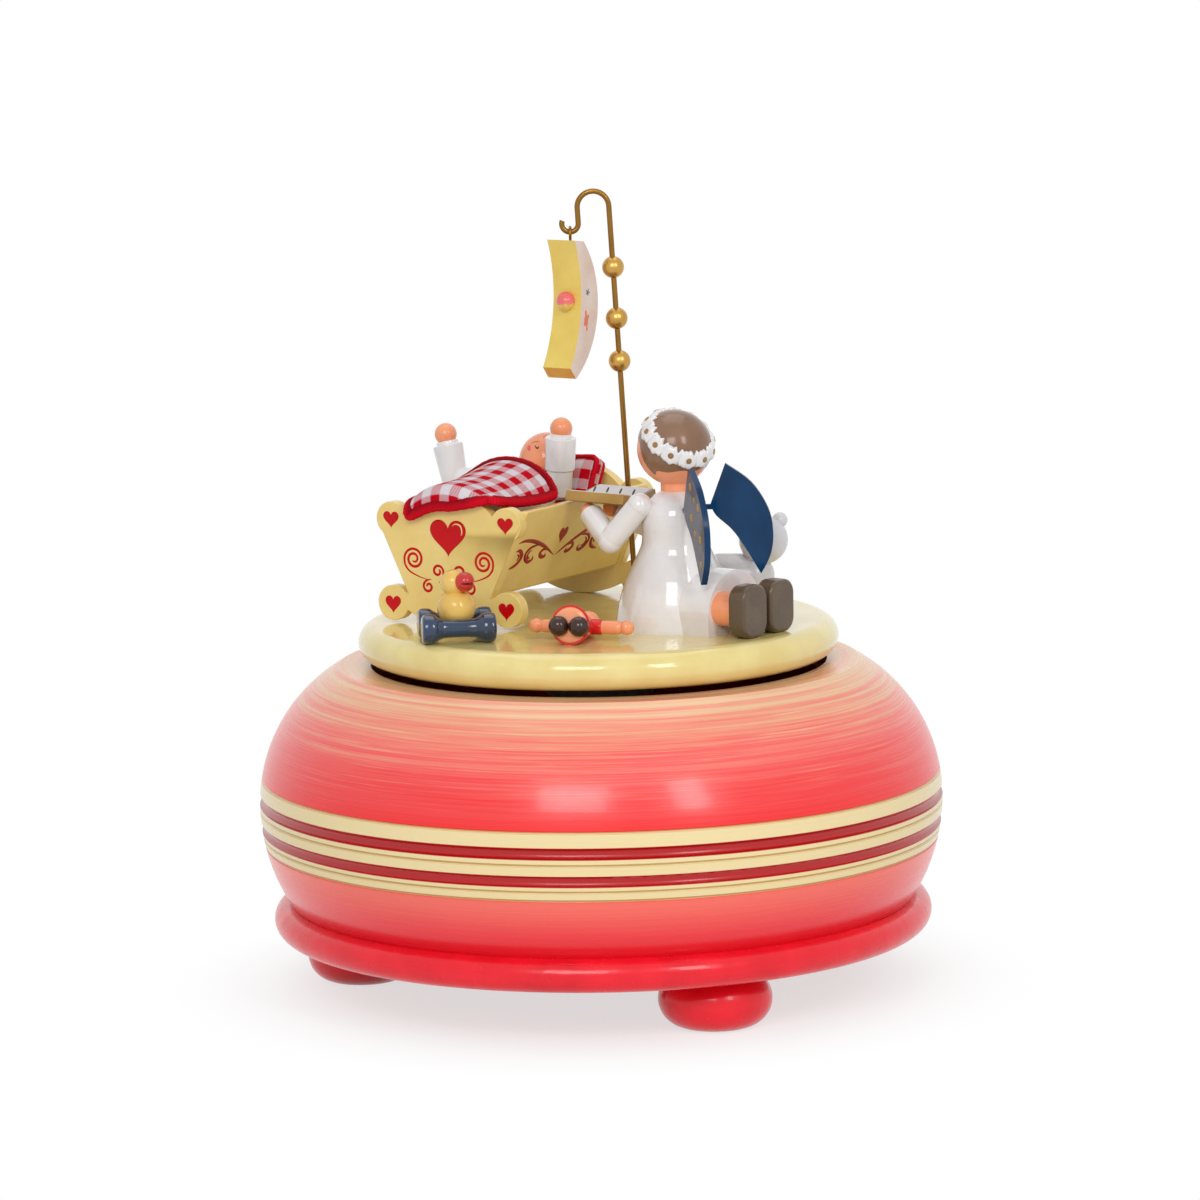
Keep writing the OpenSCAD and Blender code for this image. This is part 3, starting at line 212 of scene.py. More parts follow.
dress(metal("steel", (196, 198, 202), (150, 152, 158), rough=0.3, drawn=(900, 900, 120)),
      "base_screws", "mount_screws", "machine_screws", "clutch_spring", "comb", "winding_arbor", "winding_key",
      "cylinder_arbor", "governor", "mainspring", "spindle")
dress(metal("cast_bed", (150, 148, 142), (112, 110, 106), rough=0.5, drawn=(420, 420, 420)),
      "bedplate", "barrel_bridge", "governor_bracket", "spring_barrel", "barrel_cap", "platform_hub")
dress(metal("brass", (206, 164, 84), (160, 118, 52), rough=0.28, drawn=(700, 700, 160)),
      "note_cylinder", "cylinder_gear", "transfer_wheel")


# Platform
# A turned disc with a round edge, glued on its hub and turning with the spring barrel.
# Cream lacquer, very glossy.
top_z = 80.5
cream_paint = paint("cream_lacquer", (238, 222, 150), (230, 208, 132), rough=0.16, coat=0.5, wave=0.03)
dress(cream_paint, "platform")


# Cradle boards
# A foot board and a head board sawn to one outline, with two sloping sides and a floor glued between them.
# Thin plywood with broken edges, in cream lacquer painted warmer than the platform's as painted bounce light.
def stand(name, data):
    """A new object with this data, in the scene."""
    piece = bpy.data.objects.new(name, data)
    bpy.context.scene.collection.objects.link(piece)
    return piece


def eased(name, node, width, mat, body="turntable", sheet=None):
    """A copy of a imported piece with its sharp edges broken: equal points are merged and flat runs joined, then each
    edge that turns more than 32 degrees gets a round of that width in mm. Where a sheet's thickness is given, the
    edges across it at its sharp corners are first rounded by the tip."""
    tip = 0.9
    bm = bmesh.new()
    bm.from_mesh(nodes[node].data)
    bmesh.ops.remove_doubles(bm, verts=bm.verts, dist=2e-6)
    bmesh.ops.dissolve_limit(bm, angle_limit=math.radians(0.4), verts=bm.verts, edges=bm.edges)

    def bevel(edges, offset, segments):
        """Rounds edges by an offset in mm."""
        bmesh.ops.bevel(bm, geom=edges, offset=offset / 1000, segments=segments, profile=0.5, affect="EDGES",
                        clamp_overlap=True)

    if sheet:
        bevel([e for e in bm.edges if abs(e.calc_length() * 1000 - sheet) < 0.01
               and e.calc_face_angle(0) > math.radians(45)], tip, 5)
    bevel([e for e in bm.edges if len(e.link_faces) == 2 and e.calc_face_angle() > math.radians(32)], width, 3)
    for face in bm.faces:
        face.smooth = True
    mesh = bpy.data.meshes.new(name)
    bm.to_mesh(mesh)
    bm.free()
    if mesh.attributes.get("custom_normal"):
        mesh.attributes.remove(mesh.attributes["custom_normal"])
    mesh.materials.append(mat)
    mesh.polygons.foreach_set("material_index", np.zeros(len(mesh.polygons), int))
    mesh.set_sharp_from_angle(angle=math.radians(45))
    piece = stand(name, mesh)
    even = piece.modifiers.new("even_faces", "WEIGHTED_NORMAL")
    even.keep_sharp = True
    even.weight = 80
    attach(piece, body)
    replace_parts(piece, node)
    return piece


# Painted bounce light: the boards' cream is warmer and more golden than the platform's, for the light the cream
# boards throw on each other.
bounce_warmed_cream = paint("board_cream_painted_bounce", (242, 216, 136), (233, 202, 118), wave=0.03)
for name in ("cradle_footboard", "cradle_headboard", "cradle_side_near", "cradle_side_far"):
    eased(name + "_board", name, 0.55, bounce_warmed_cream)
dress(bounce_warmed_cream, "cradle_floor")


# Painted hearts and scrolls
# Red ornament laid by brush and stencil on the foot board, the head board and both sides of the cradle.
# Thin raised paint, glossy.
def surface(name, grids, mat, body="turntable", ring=True, uv=None):
    """A mesh over arrays (n, m, 3) of points in mm: four neighbours make a face, and with ring the last column joins
    the first. Points that fall together are merged, so that seams and poles close, and faces turn outwards."""
    points, faces, start = [], [], 0
    for grid in grids:
        n, m = grid.shape[:2]
        index = np.arange(n * m).reshape(n, m) + start
        index = np.hstack([index, index[:, :1]]) if ring else index
        faces.append(np.stack([index[:-1, :-1], index[1:, :-1], index[1:, 1:], index[:-1, 1:]], -1).reshape(-1, 4))
        points.append(grid.reshape(-1, 3))
        start += n * m
    mesh = bpy.data.meshes.new(name)
    faces = np.vstack(faces)
    mesh.from_pydata((np.vstack(points) / 1000).tolist(), [], faces.tolist())
    if uv is not None:
        flat = mesh.uv_layers.new(name="cloth")
        flat.uv.foreach_set("vector", uv[faces.reshape(-1)].astype(np.float32).reshape(-1))
    bm = bmesh.new()
    bm.from_mesh(mesh)
    bmesh.ops.remove_doubles(bm, verts=bm.verts, dist=1e-6)
    bmesh.ops.recalc_face_normals(bm, faces=bm.faces)
    bm.to_mesh(mesh)
    bm.free()
    mesh.polygons.foreach_set("use_smooth", np.ones(len(mesh.polygons), bool))
    mesh.materials.append(mat)
    piece = stand(name, mesh)
    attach(piece, body)
    return piece


def put(grid, place):
    """Points carried by a 4 by 4 matrix."""
    m = np.array(place)
    return grid @ m[:3, :3].T + m[:3, 3]


def shift(x, y, z):
    """A matrix that moves along X, Y and Z."""
    return Matrix.Translation((x, y, z))


def spin(degrees, axis):
    """A matrix that turns about an axis."""
    return Matrix.Rotation(math.radians(degrees), 4, axis)


def around(n):
    """The angles of n even steps round a circle."""
    return np.linspace(0, 2 * np.pi, n + 1)[:-1]


def unit(v):
    """Vectors made one long."""
    return v / np.linalg.norm(v, axis=-1, keepdims=True)


def curve_through(points, samples):
    """A smooth line through the points: on each stretch the Catmull-Rom cubic of its four nearest points."""
    p = np.asarray(points, float)
    q = np.vstack([2 * p[0] - p[1], p, 2 * p[-1] - p[-2]])
    t = np.linspace(0, len(p) - 1, samples)
    i = np.minimum(t.astype(int), len(p) - 2)
    f = (t - i)[:, None]
    a, b, c, d = q[i], q[i + 1], q[i + 2], q[i + 3]
    return 0.5 * (2 * b + (c - a) * f + (2 * a - 5 * b + 4 * c - d) * f ** 2 + (3 * b - a - 3 * c + d) * f ** 3)


def stroke(points, width, ends=0.35, rise=0.1, samples=56):
    """A brush stroke: a flattened ellipse carried along the smooth line, full in the middle, thin at both tips and
    closed there."""
    line = curve_through(points, samples)
    along = np.gradient(line, axis=0)
    side = unit(np.stack([-along[:, 1], along[:, 0]], 1))
    s = np.linspace(0, 1, samples)
    tip = np.minimum(1, 9 * np.minimum(s, 1 - s)) ** 0.5
    half = width / 2 * (ends + (1 - ends) * np.sin(np.pi * s)) * tip
    a = around(8)
    flat = line[:, None] + side[:, None] * (half[:, None] * np.cos(a))[..., None]
    return np.dstack([flat, rise * tip[:, None] * np.sin(a)])


def blot(edge, rise=0.1):
    """A patch of paint: rings of an outline (k, 2) drawn in to its middle, a low dome above and closed below."""
    middle = edge.mean(0)
    k = np.array([0, 0.4, 0.75, 0.93, 1, 0.97, 0.5, 0])
    h = np.array([1, 0.97, 0.9, 0.75, 0.2, -0.5, -0.8, -0.8]) * rise
    flat = middle + k[:, None, None] * (edge - middle)
    return np.dstack([flat, np.repeat(h[:, None], len(edge), 1)])


def heart(x, y, wide, high):
    """A heart's outline: across 16 sin^3 t, up 13 cos t - 5 cos 2t - 2 cos 3t - cos 4t, fitted to its width and
    height."""
    t = around(64)
    up = 13 * np.cos(t) - 5 * np.cos(2 * t) - 2 * np.cos(3 * t) - np.cos(4 * t)
    return np.stack([x + np.sin(t) ** 3 * wide / 2, y + (up + 2.5) / 29 * high], 1)


def spiral(x, y, outer, inner, start, turns, tail):
    """A scroll's line: radius falling evenly from outer to inner over the turns from the start angle, led in by a
    tail."""
    a = np.linspace(0, 1, int(12 * abs(turns)) + 1)
    r = outer + (inner - outer) * a
    b = math.radians(start) + 2 * math.pi * turns * a
    return np.vstack([tail, np.stack([x + r * np.cos(b), y + r * np.sin(b)], 1)])


def both_ways(lines):
    """Lines and their mirror images across the upright axis."""
    return [line * [k, 1] for line in map(np.asarray, lines) for k in (1, -1)]


cradle = shift(-18.2, 15.6, top_z) @ spin(-30.6, "Z")
heart_red = paint("heart_red", (208, 2, 16), (192, 0, 10), rough=0.3, coat=0.1, spec=0.15)
foot_face, head_face, side_foot, side_slope = -27.65, 30.45, 6.588, 0.4724
board_lines = both_ways([
    spiral(8.9, 14.4, 2.5, 0.45, -12, 1.95, [(4.9, 9.9), (7.4, 10.5), (9.8, 11.5), (11.0, 12.7)]),
    spiral(5.3, 8.5, 1.35, 0.35, 60, -1.2, [(4.4, 10.1), (5.3, 10.0)]),
    spiral(2.8, 12.0, 1.45, 0.4, 200, -1.25, [(2.7, 9.4), (1.6, 10.4)])])
board_hearts = [heart(0, 19.3, 9.2, 8.2)] + both_ways([heart(14.6, 22.7, 4.0, 3.7), heart(14.5, 4.0, 4.0, 3.9)])
board = [stroke(line, 0.62, ends=0.7, samples=110) for line in board_lines] + [blot(edge) for edge in board_hearts]
shine = stroke([(0.9, 21.9), (2.0, 22.6), (3.2, 22.2), (3.6, 20.9), (3.3, 19.9)], 0.42, ends=0.2, rise=0.16)
foot_plane = cradle @ Matrix(((1, 0, 0, 0), (0, 0, -1, foot_face), (0, 1, 0, 0), (0, 0, 0, 1)))
head_plane = cradle @ Matrix(((-1, 0, 0, 0), (0, 0, 1, head_face), (0, 1, 0, 0), (0, 0, 0, 1)))
surface("board_ornament", [put(g, m) for m in (foot_plane, head_plane) for g in board], heart_red)
surface("heart_shine", [put(shine, foot_plane), put(shine, head_plane)], cream_paint)

valley = -4.7
vine_half = [
    ([(-23.5, 18.4), (-20.7, 18.7), (-17.0, 18.2), (-12.8, 17.0), (-9.2, 15.6), (-4.7, 13.4)], 0.75),
    ([(-12.8, 17.0), (-16.5, 16.8), (-18.2, 15.7), (-17.6, 14.3), (-15.7, 13.4), (-14.3, 13.8), (-14.8, 14.8)], 0.8),
    ([(-7.6, 15.0), (-10.5, 15.6), (-11.7, 14.8), (-10.6, 13.9), (-9.0, 13.8), (-9.4, 14.6)], 0.8),
    ([(-23.8, 12.6), (-21.4, 13.2), (-19.9, 14.2), (-19.8, 15.4), (-21.4, 16.6), (-23.1, 16.6)], 0.95),
    ([(-16.0, 16.2), (-17.1, 15.5), (-16.7, 14.5), (-15.4, 14.2)], 0.5),
    ([(-22.0, 15.9), (-20.8, 15.2), (-21.2, 14.2)], 0.5)]
vine = [stroke(np.asarray(line) * [k, 1] + [valley * (1 - k), 0], 1.25 * width, ends=0.3)
        for line, width in vine_half for k in (1, -1)]
vine.append(blot(heart(valley + 0.2, 18.0, 3.5, 3.6)))
near_plane = cradle @ Matrix(((0, side_slope, 1, side_foot), (1, 0, 0, 0), (0, 1, -side_slope, 0), (0, 0, 0, 1)))
far_plane = cradle @ Matrix(((0, -side_slope, -1, -side_foot), (-1, 0, 0, 0), (0, 1, -side_slope, 0), (0, 0, 0, 1)))
far_vine = [put(g, shift(-2 * valley, 0, 0)) for g in vine]
vine_red = paint("vine_red", (176, 30, 14), (150, 16, 8), rough=0.34, coat=0.1, spec=0.15)
surface("side_vines", [put(g, near_plane) for g in vine] + [put(g, far_plane) for g in far_vine], vine_red)


# Mattress, pillow and blanket
# Sewn cloth: a white mattress, and a pillow and a quilted blanket of red and white gingham with red stitched edgings
# round their seams. Stuffed loosely; a cloth simulation blows up each cover between its seams.
def wave(value, rate, start=0.0):
    """The sine of a value times the rate plus the start, in radians."""
    return calc(calc(value, "MULTIPLY_ADD", rate, start), "SINE")


def gingham():
    """Woven checks on the cloth's own map in mm: broad stripes of red and white warp and weft, and a twill that shows
    warp where the diagonal wave is high and weft where it is low, so that crossings are red, white or half tone."""
    check, thread = 2.35, 0.42
    mat, surface_shader, _ = shader("red_gingham")
    flat = add(mat.node_tree, "UVMap", uv_map="cloth").outputs["UV"]
    x, y, _ = parts(flat)
    warp, weft = (remap(wave(way, math.pi / check), -0.09, 0.09) for way in (x, y))
    fine = 2 * math.pi / thread
    twill = remap(wave(calc(x, "ADD", y), fine), -0.5, 0.5)
    worn = noise(flat, 2.6, 4)
    red = mix(worn, rgb(212, 8, 36), rgb(188, 2, 24))
    white = mix(worn, rgb(236, 230, 236), rgb(214, 206, 214))
    rows = calc(wave(x, fine), "MULTIPLY", wave(y, fine))
    feed(surface_shader, {
        "Base Color": mix(mix(twill, weft, warp), white, red), "Normal": bump(rows, strength=0.5, distance=0.0001),
        "Roughness": 0.82, "Specular IOR Level": 0.06})
    return mat


def drawn_in(s, t, wide, long, draw, corner=0.045):
    """A square map (s, t) laid out in mm, drawn in between its corners by draw and at them by corner."""
    pull = 1 - corner * (np.abs(s) * np.abs(t)) ** 6
    return (wide / 2 * s * pull * (1 - draw * (1 - t ** 2) * np.abs(s)),
            long / 2 * t * pull * (1 - draw * (1 - s ** 2) * np.abs(t)))


def pad(wide, long, thick, draw, n, m, edge):
    """A sewn cover laid flat: the square map, crowded to its rim, with half the thickness times
    ((1 - |s|^edge)(1 - |t|^edge))^0.5 above and below. Gives both faces."""
    crowd = 1.35
    s, t = np.meshgrid(np.linspace(-1, 1, n), np.linspace(-1, 1, m), indexing="ij")
    s, t = np.sin(s * crowd) / np.sin(crowd), np.sin(t * crowd) / np.sin(crowd)
    x, y = drawn_in(s, t, wide, long, draw)
    h = thick / 2 * np.sqrt(np.clip((1 - np.abs(s) ** edge) * (1 - np.abs(t) ** edge), 0, 1))
    return [np.dstack([x, y, k * h]) for k in (1, -1)]


def border(grid):
    """The points along the four sides of a grid."""
    return np.vstack([grid[0], grid[-1], grid[:, 0], grid[:, -1]])


def flat_map(grids):
    """The cloth's own map: across and along of each point, in mm."""
    return np.vstack([g[..., :2].reshape(-1, 2) for g in grids])


def rim(wide, long, draw, n, *corner):
    """The seam line of a pad: the border of the same square map, once round, as (n, 2)."""
    a = np.linspace(0, 4, n + 1)[:-1]
    side, f = a.astype(int), a % 1 * 2 - 1
    s = np.choose(side, [f, np.ones_like(f), -f, -np.ones_like(f)])
    t = np.choose(side, [-np.ones_like(f), f, np.ones_like(f), -f])
    return np.stack(drawn_in(s, t, wide, long, draw, *corner), 1)


def box_cushion(wide, long, thick, draw, corner):
    """A pillow of two panels on a band: rings of the rim drawn in to the middle, domed by (1 - k^3)^0.5 over each
    panel, and a band that bulges to the full rim between the seams. Gives the grids and their flat map in mm."""
    seam, half_band, n, rings, rows = 0.93, 0.5, 144, 10, 7
    edge = rim(wide, long, draw, n, corner)
    side = half_band * thick / 2
    k = np.sin(np.linspace(0, np.pi / 2, rings))[:, None, None]
    dome = side + (thick / 2 - side) * np.sqrt(np.clip(1 - k ** 3, 0, 1))
    panel = np.dstack([seam * k * edge, np.broadcast_to(dome, (rings, n, 1))])
    turn = np.linspace(np.pi / 2, -np.pi / 2, rows)[:, None, None]
    band = np.dstack([(seam + (1 - seam) * np.cos(turn)) * edge, np.broadcast_to(side * np.sin(turn), (rows, n, 1))])
    run = np.cumsum(np.linalg.norm(np.diff(edge, axis=0, prepend=edge[-1:]), axis=1))
    strip = np.stack([np.broadcast_to(run, (rows, n)), band[..., 2]], -1).reshape(-1, 2)
    return [panel, band, panel * [1, 1, -1]], np.vstack([flat_map([panel]), strip, flat_map([panel])])


def piping(line, up, wide, thick):
    """A stitched edging round a closed seam line in mm: ovals across the line, wide along the cloth and thick across
    it, rippled by slanting rows of thread. Gives the grid and its map: the run along the seam, and turns round it."""
    pitch = 0.62
    along = unit(np.roll(line, -1, 0) - np.roll(line, 1, 0))
    out = unit(np.cross(along, up))
    lift = np.cross(out, along)
    run = np.cumsum(np.linalg.norm(np.diff(line, axis=0, prepend=line[-1:]), axis=1))
    rows = 2 * np.pi * round(run[-1] / pitch) * (run / run[-1])[:, None]
    a = around(16)
    ripple = 1 + 0.06 * np.sin(rows + 2 * a) + 0.03 * np.sin(rows * 0.31 + a)
    tube = (line[:, None] + (wide / 2 * ripple * np.cos(a))[..., None] * out[:, None]
            + (thick / 2 * ripple * np.sin(a))[..., None] * lift[:, None])
    grid = np.vstack([tube, tube[:1]])
    turns = np.broadcast_to(a / (2 * np.pi), (len(grid), len(a)))
    along_map = np.broadcast_to(np.append(run, run[-1])[:, None], turns.shape)
    return grid, np.stack([along_map, turns], -1).reshape(-1, 2)


def points_of(mesh):
    """A mesh's points in metres, as (n, 3)."""
    co = np.empty(len(mesh.vertices) * 3)
    mesh.vertices.foreach_get("co", co)
    return co.reshape(-1, 3)


def puff(piece, seam, pressure, most):
    """Blows up a cover by Blender's cloth on a copy forty times as large, with its seam pinned and no gravity, then
    takes over its shape, each point moved by at most that many mm."""
    mesh, scene, scale, steps = piece.data, bpy.context.scene, 40.0, 18
    start = points_of(mesh)
    middle = start.mean(0)
    trial = stand(piece.name + "_trial", mesh.copy())
    trial.data.vertices.foreach_set("co", ((start - middle) * scale).reshape(-1))
    sewn = np.min(np.linalg.norm(start[:, None] - seam[None] / 1000, axis=2), axis=1) < 2e-6
    trial.vertex_groups.new(name="seam").add(np.flatnonzero(sewn).tolist(), 1.0, "REPLACE")
    cloth = trial.modifiers.new("cloth", "CLOTH")
    for key, value in dict(quality=5, mass=0.3, tension_stiffness=12, compression_stiffness=12, bending_stiffness=0.6,
                           vertex_group_mass="seam", use_pressure=True, uniform_pressure_force=pressure).items():
        setattr(cloth.settings, key, value)
    cloth.settings.effector_weights.gravity = 0.0
    cloth.collision_settings.use_collision = False
    for now in range(1, steps + 1):
        scene.frame_set(now)
    shaped = trial.evaluated_get(bpy.context.evaluated_depsgraph_get())
    move = points_of(shaped.data) / scale + middle - start
    far = np.linalg.norm(move, axis=1)[:, None]
    move *= np.minimum(1, most / 1000 / np.maximum(far, 1e-9))
    mesh.vertices.foreach_set("co", (start + move).reshape(-1))
    mesh.update()
    scene.frame_set(1)
    bpy.data.objects.remove(trial)


def soft(name, node, grids, flat, seam, mat, pressure, most, ring=False):
    """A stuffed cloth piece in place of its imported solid: panels sewn at the seams, blown up and smoothed once."""
    piece = surface(name, grids, mat, ring=ring, uv=flat)
    puff(piece, seam, pressure, most)
    smooth = piece.modifiers.new("smooth", "SUBSURF")
    smooth.levels = smooth.render_levels = 1
    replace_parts(piece, node)
    return piece


def woven(name, colour, shade):
    """Plain woven cloth on Object coordinates: crossed fine waves as threads, and clouds of shade."""
    thread_rate = 13000.0
    mat, surface_shader, place = shader(name)
    x, y, _ = parts(place)
    rows = calc(wave(x, thread_rate), "MULTIPLY", wave(y, thread_rate))
    feed(surface_shader, {
        "Base Color": mix(noise(place, 300, 4), rgb(*colour), rgb(*shade)),
        "Normal": bump(rows, strength=0.4, distance=0.0001), "Roughness": 0.85, "Specular IOR Level": 0.1})
    return mat


def edging():
    """Red thread laid round an edge, on the edging's own map: slanting rows, with painted shade that turns the red
    deep on the side towards the cloth and bright on the outside, and a darker red painted as shade between rows."""
    pitch = 0.31
    mat, surface_shader, _ = shader("edging_thread")
    run, way_round, _ = parts(add(mat.node_tree, "UVMap", uv_map="cloth").outputs["UV"])
    turn = calc(way_round, "MULTIPLY", 2 * math.pi)
    rows = wave(run, 2 * math.pi / pitch, turn)
    # Painted shade: the red turns deep on the side of the edging towards the cloth and bright on the outside.
    tone = mix(remap(calc(turn, "COSINE"), -0.75, 0.35), rgb(150, 0, 18), rgb(226, 4, 36))
    feed(surface_shader, {
        # Painted shade: a darker red laid in the grooves between the rows of thread.
        "Base Color": mix(remap(rows, -1.0, -0.1, 0.5, 0.0), tone, rgb(134, 0, 14)),
        "Normal": bump(rows, strength=0.6, distance=0.0001), "Roughness": 0.7, "Specular IOR Level": 0.12})
    return mat


check_cloth = gingham()
thread_red = edging()
sheet_white = woven("white_cotton", (240, 238, 236), (224, 222, 222))
mattress_l, mattress_foot = 51.6, -24.4


def on_mattress(p):
    """The mattress between the sides: its top rises towards the head board, and its width follows their slope."""
    low, foot, head = 9.2, 12.7, 19.0
    floor_half, floor_z, slope = 8.0, 9.0, 0.47
    top = foot + (head - foot) * (p[..., 1:2] - mattress_foot) / mattress_l
    z = (low + top) / 2 + p[..., 2:3] * (top - low) / 2
    x = p[..., 0:1] * (floor_half + slope * (z - floor_z))
    return np.concatenate([x, p[..., 1:2], z], -1)


faces = pad(2.0, mattress_l, 2.0, 0.0, n=30, m=60, edge=10.0)
flat = flat_map(faces)
faces = [put(on_mattress(f + [0, mattress_foot + mattress_l / 2, 0]), cradle) for f in faces]
soft("mattress_ticking", "mattress", faces, flat, border(faces[0]), sheet_white,
     pressure=2.0, most=0.25)

pillow_place = cradle @ shift(0, 23.1, 25.7) @ spin(63, "X")
pillow_size, pillow_draw, pillow_corner = (17.4, 12.6, 5.4), 0.06, 0.13


def curl(p):
    """The pillow's ends curled towards the head that lies on it, by the square of the way out."""
    lift, half = 1.5, 10.5
    return p + [0, 0, lift] * (p[..., :1] / half) ** 2


panels, flat = box_cushion(*pillow_size, pillow_draw, pillow_corner)
panels = [put(curl(g), pillow_place) for g in panels]
soft("pillow_cover", "pillow", panels, flat, np.vstack([panels[0][-1], panels[2][-1]]), check_cloth,
     pressure=5.0, most=0.35, ring=True)
up = np.array(pillow_place)[:3, 2]
seam_in, seam_z, round_n = 0.935, 1.45, 640
for k, name in ((1, "pillow_edging_front"), (-1, "pillow_edging_back")):
    line = seam_in * rim(*pillow_size[:2], pillow_draw, round_n, pillow_corner)
    line = np.hstack([line, np.full((round_n, 1), k * seam_z)])
    grid, flat = piping(put(curl(line), pillow_place), up, wide=1.25, thick=1.25)
    surface(name, [grid], thread_red, uv=flat)

blanket_y, fold_y = -18.2, -27.3


def hem(p):
    """The blanket's cut in the flat: its front hem, past the top of the foot board, is drawn up a little towards the
    far corner and wholly towards the near one."""
    past = np.maximum(0, fold_y - blanket_y - p[..., 1])
    x = p[..., 0]
    slack = 0.14 + np.where(x > 0, 0.06 * x + 0.003 * x ** 2, 0.0008 * x ** 2)
    return np.stack([x, p[..., 1] + past * np.minimum(1, slack), p[..., 2]], -1)


def over_bed(p):
    """The blanket's lie: bent round the arch of the boards and rolled to the near side, rising over the baby by the
    power 1.6 of the way along, its near edge held out at the foot and sunk at the head, its far edge sagging, and
    turned down round the top of the foot board."""
    arch, arch_z, fold_r, roll = 16.15, 14.5, 2.0, math.radians(6)
    rise, rise_from, rise_run = 3.3, -22, 20
    past = np.maximum(0, fold_y - p[..., 1] - blanket_y)
    turn = np.minimum(np.pi / 2, past / fold_r)
    down = np.maximum(0, past - fold_r * np.pi / 2)
    y = np.where(past > 0, fold_y - fold_r * np.sin(turn), p[..., 1] + blanket_y)
    f = np.clip((y - rise_from) / rise_run, 0, 1.1)
    r = arch + p[..., 2] * np.cos(turn)
    a = p[..., 0] / arch + roll
    near = np.where(a > 0, (np.sin(a) / 0.75) ** 6 * (2.9 - 0.235 * (y + 26)), 0)
    sag = np.where(a < 0, (np.sin(a) / 0.58) ** 2 * (0.9 - 0.02 * (y + 27)), 0)
    z = arch_z + r * np.cos(a) + rise * f ** 1.6 + near - sag - fold_r * (1 - np.cos(turn)) - down
    return np.stack([f + r * np.sin(a), y - p[..., 2] * np.sin(turn), z], -1)


def evenly(line, up):
    """A closed line and its up ways at points evenly along its length, its corners eased by rounds of giving each
    point half its own place and a quarter of each neighbour's."""
    n, rounds = 720, 40
    run = np.append(0, np.cumsum(np.linalg.norm(np.diff(line, axis=0, append=line[:1]), axis=1)))
    at = np.linspace(0, run[-1], n + 1)[:-1]
    line, up = (np.stack([np.interp(at, run, np.append(c, c[0])) for c in v.T], 1) for v in (line, up))
    for _ in range(rounds):
        line = (np.roll(line, 1, 0) + 2 * line + np.roll(line, -1, 0)) / 4
    return line, up


blanket_size, blanket_draw, edging_in, round_n = (24.0, 31.6, 1.2), 0.03, 0.7, 1000
faces = [hem(f) for f in pad(*blanket_size, blanket_draw, n=56, m=72, edge=5.0)]
flat = flat_map(faces)
faces = [put(over_bed(f), cradle) for f in faces]
soft("blanket_quilt", "blanket", faces, flat, border(faces[0]), check_cloth,
     pressure=4.0, most=0.2)
line = rim(blanket_size[0] - edging_in, blanket_size[1] - edging_in, blanket_draw, round_n)
line = np.hstack([line, np.zeros((round_n, 1))])
line, up = put(over_bed(hem(line)), cradle), put(over_bed(hem(line) + [0, 0, 1]), cradle)
grid, flat = piping(*evenly(line, up - line), wide=2.5, thick=1.9)
surface("blanket_edging", [grid], thread_red, uv=flat)


# Baby
# A turned body under the blanket, a ball head and two turned sleeves with ball hands, glued together.
# Beech, white and skin lacquer; the face is a few dabs of a fine brush.
white_paint = paint("white_lacquer", (240, 238, 238), (228, 226, 228), rough=0.14, coat=0.8)
skin_paint = paint("skin_lacquer", (252, 168, 124), (244, 152, 108), rough=0.18)
dress(white_paint, "baby_body")
dress(skin_paint, "baby_head", "baby_hands")


def rounded(profile, ease=0.3):
    """A profile with eased corners: each gives way to a parabola between points at that distance on both sides."""
    p = np.asarray(profile, float)
    run, t = [p[:1]], np.linspace(0, 1, 5)[:, None]
    for before, here, after in zip(p[:-2], p[1:-1], p[2:]):
        ways = [(q - here) * min(0.45, ease / max(np.linalg.norm(q - here), 1e-9)) for q in (before, after)]
        run.append(here + (1 - t) ** 2 * ways[0] + t ** 2 * ways[1])
    return np.vstack(run + [p[-1:]])


def turned(profile, start, end, cols=56):
    """A turned piece along the line from start to end: circles at each distance and radius of its profile, in mm."""
    start = np.asarray(start, float)
    axis = unit(np.asarray(end, float) - start)
    side = unit(np.cross(axis, np.eye(3)[np.argmin(np.abs(axis))]))
    d, r = np.asarray(profile, float).T[:, :, None, None]
    a = around(cols)[:, None]
    return start + d * axis + r * (np.cos(a) * side + np.sin(a) * np.cross(axis, side))


right_sleeve = rounded([(-1, 0), (-1, 2.85), (4.9, 2.95), (4.9, 3.36), (12.2, 3.45), (12.2, 2.5), (13.1, 2.42),
                        (13.1, 0)])
left_sleeve = rounded([(-3.0, 0), (-3.0, 2.3), (-2.2, 2.85), (0, 2.95), (7.8, 3.45), (7.8, 2.5), (8.7, 2.42),
                       (8.7, 0)])
upper_arm = rounded([(0, 0), (0, 2.9), (15.6, 2.7), (15.6, 0)], ease=1.2)
sleeves = [turned(right_sleeve, (5.6, 10.2, 25.5), (6.8, 9.6, 39.6)),
           turned(left_sleeve, (-21.4, 9.6, 27), (-23.6, 9.8, 37)),
           turned(upper_arm, (-5, 9, 27), (-21.4, 9.6, 27))]
arms = surface("baby_sleeves", [put(g, cradle) for g in sleeves], white_paint)
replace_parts(arms, "baby_arms")


def wrap(grid, centre, ball, right, up, front):
    """Flat paint (across, up, thickness) laid on a ball: the direction is front plus across and up over the radius,
    made one long, and the point lies on it at the radius plus the thickness."""
    ways = [np.array(Vector(v).normalized()) for v in (right, up, front)]
    d = ways[2] + (grid[..., :1] * ways[0] + grid[..., 1:2] * ways[1]) / ball
    return np.array(centre) + unit(d) * (ball + grid[..., 2:3])


def dab(x, y, wide, high=None, turn=0.0):
    """An oval outline."""
    a = around(24)
    oval = np.stack([wide / 2 * np.cos(a), (high or wide) / 2 * np.sin(a)], 1)
    c, s = math.cos(math.radians(turn)), math.sin(math.radians(turn))
    return oval @ np.array([[c, s], [-s, c]]) + [x, y]


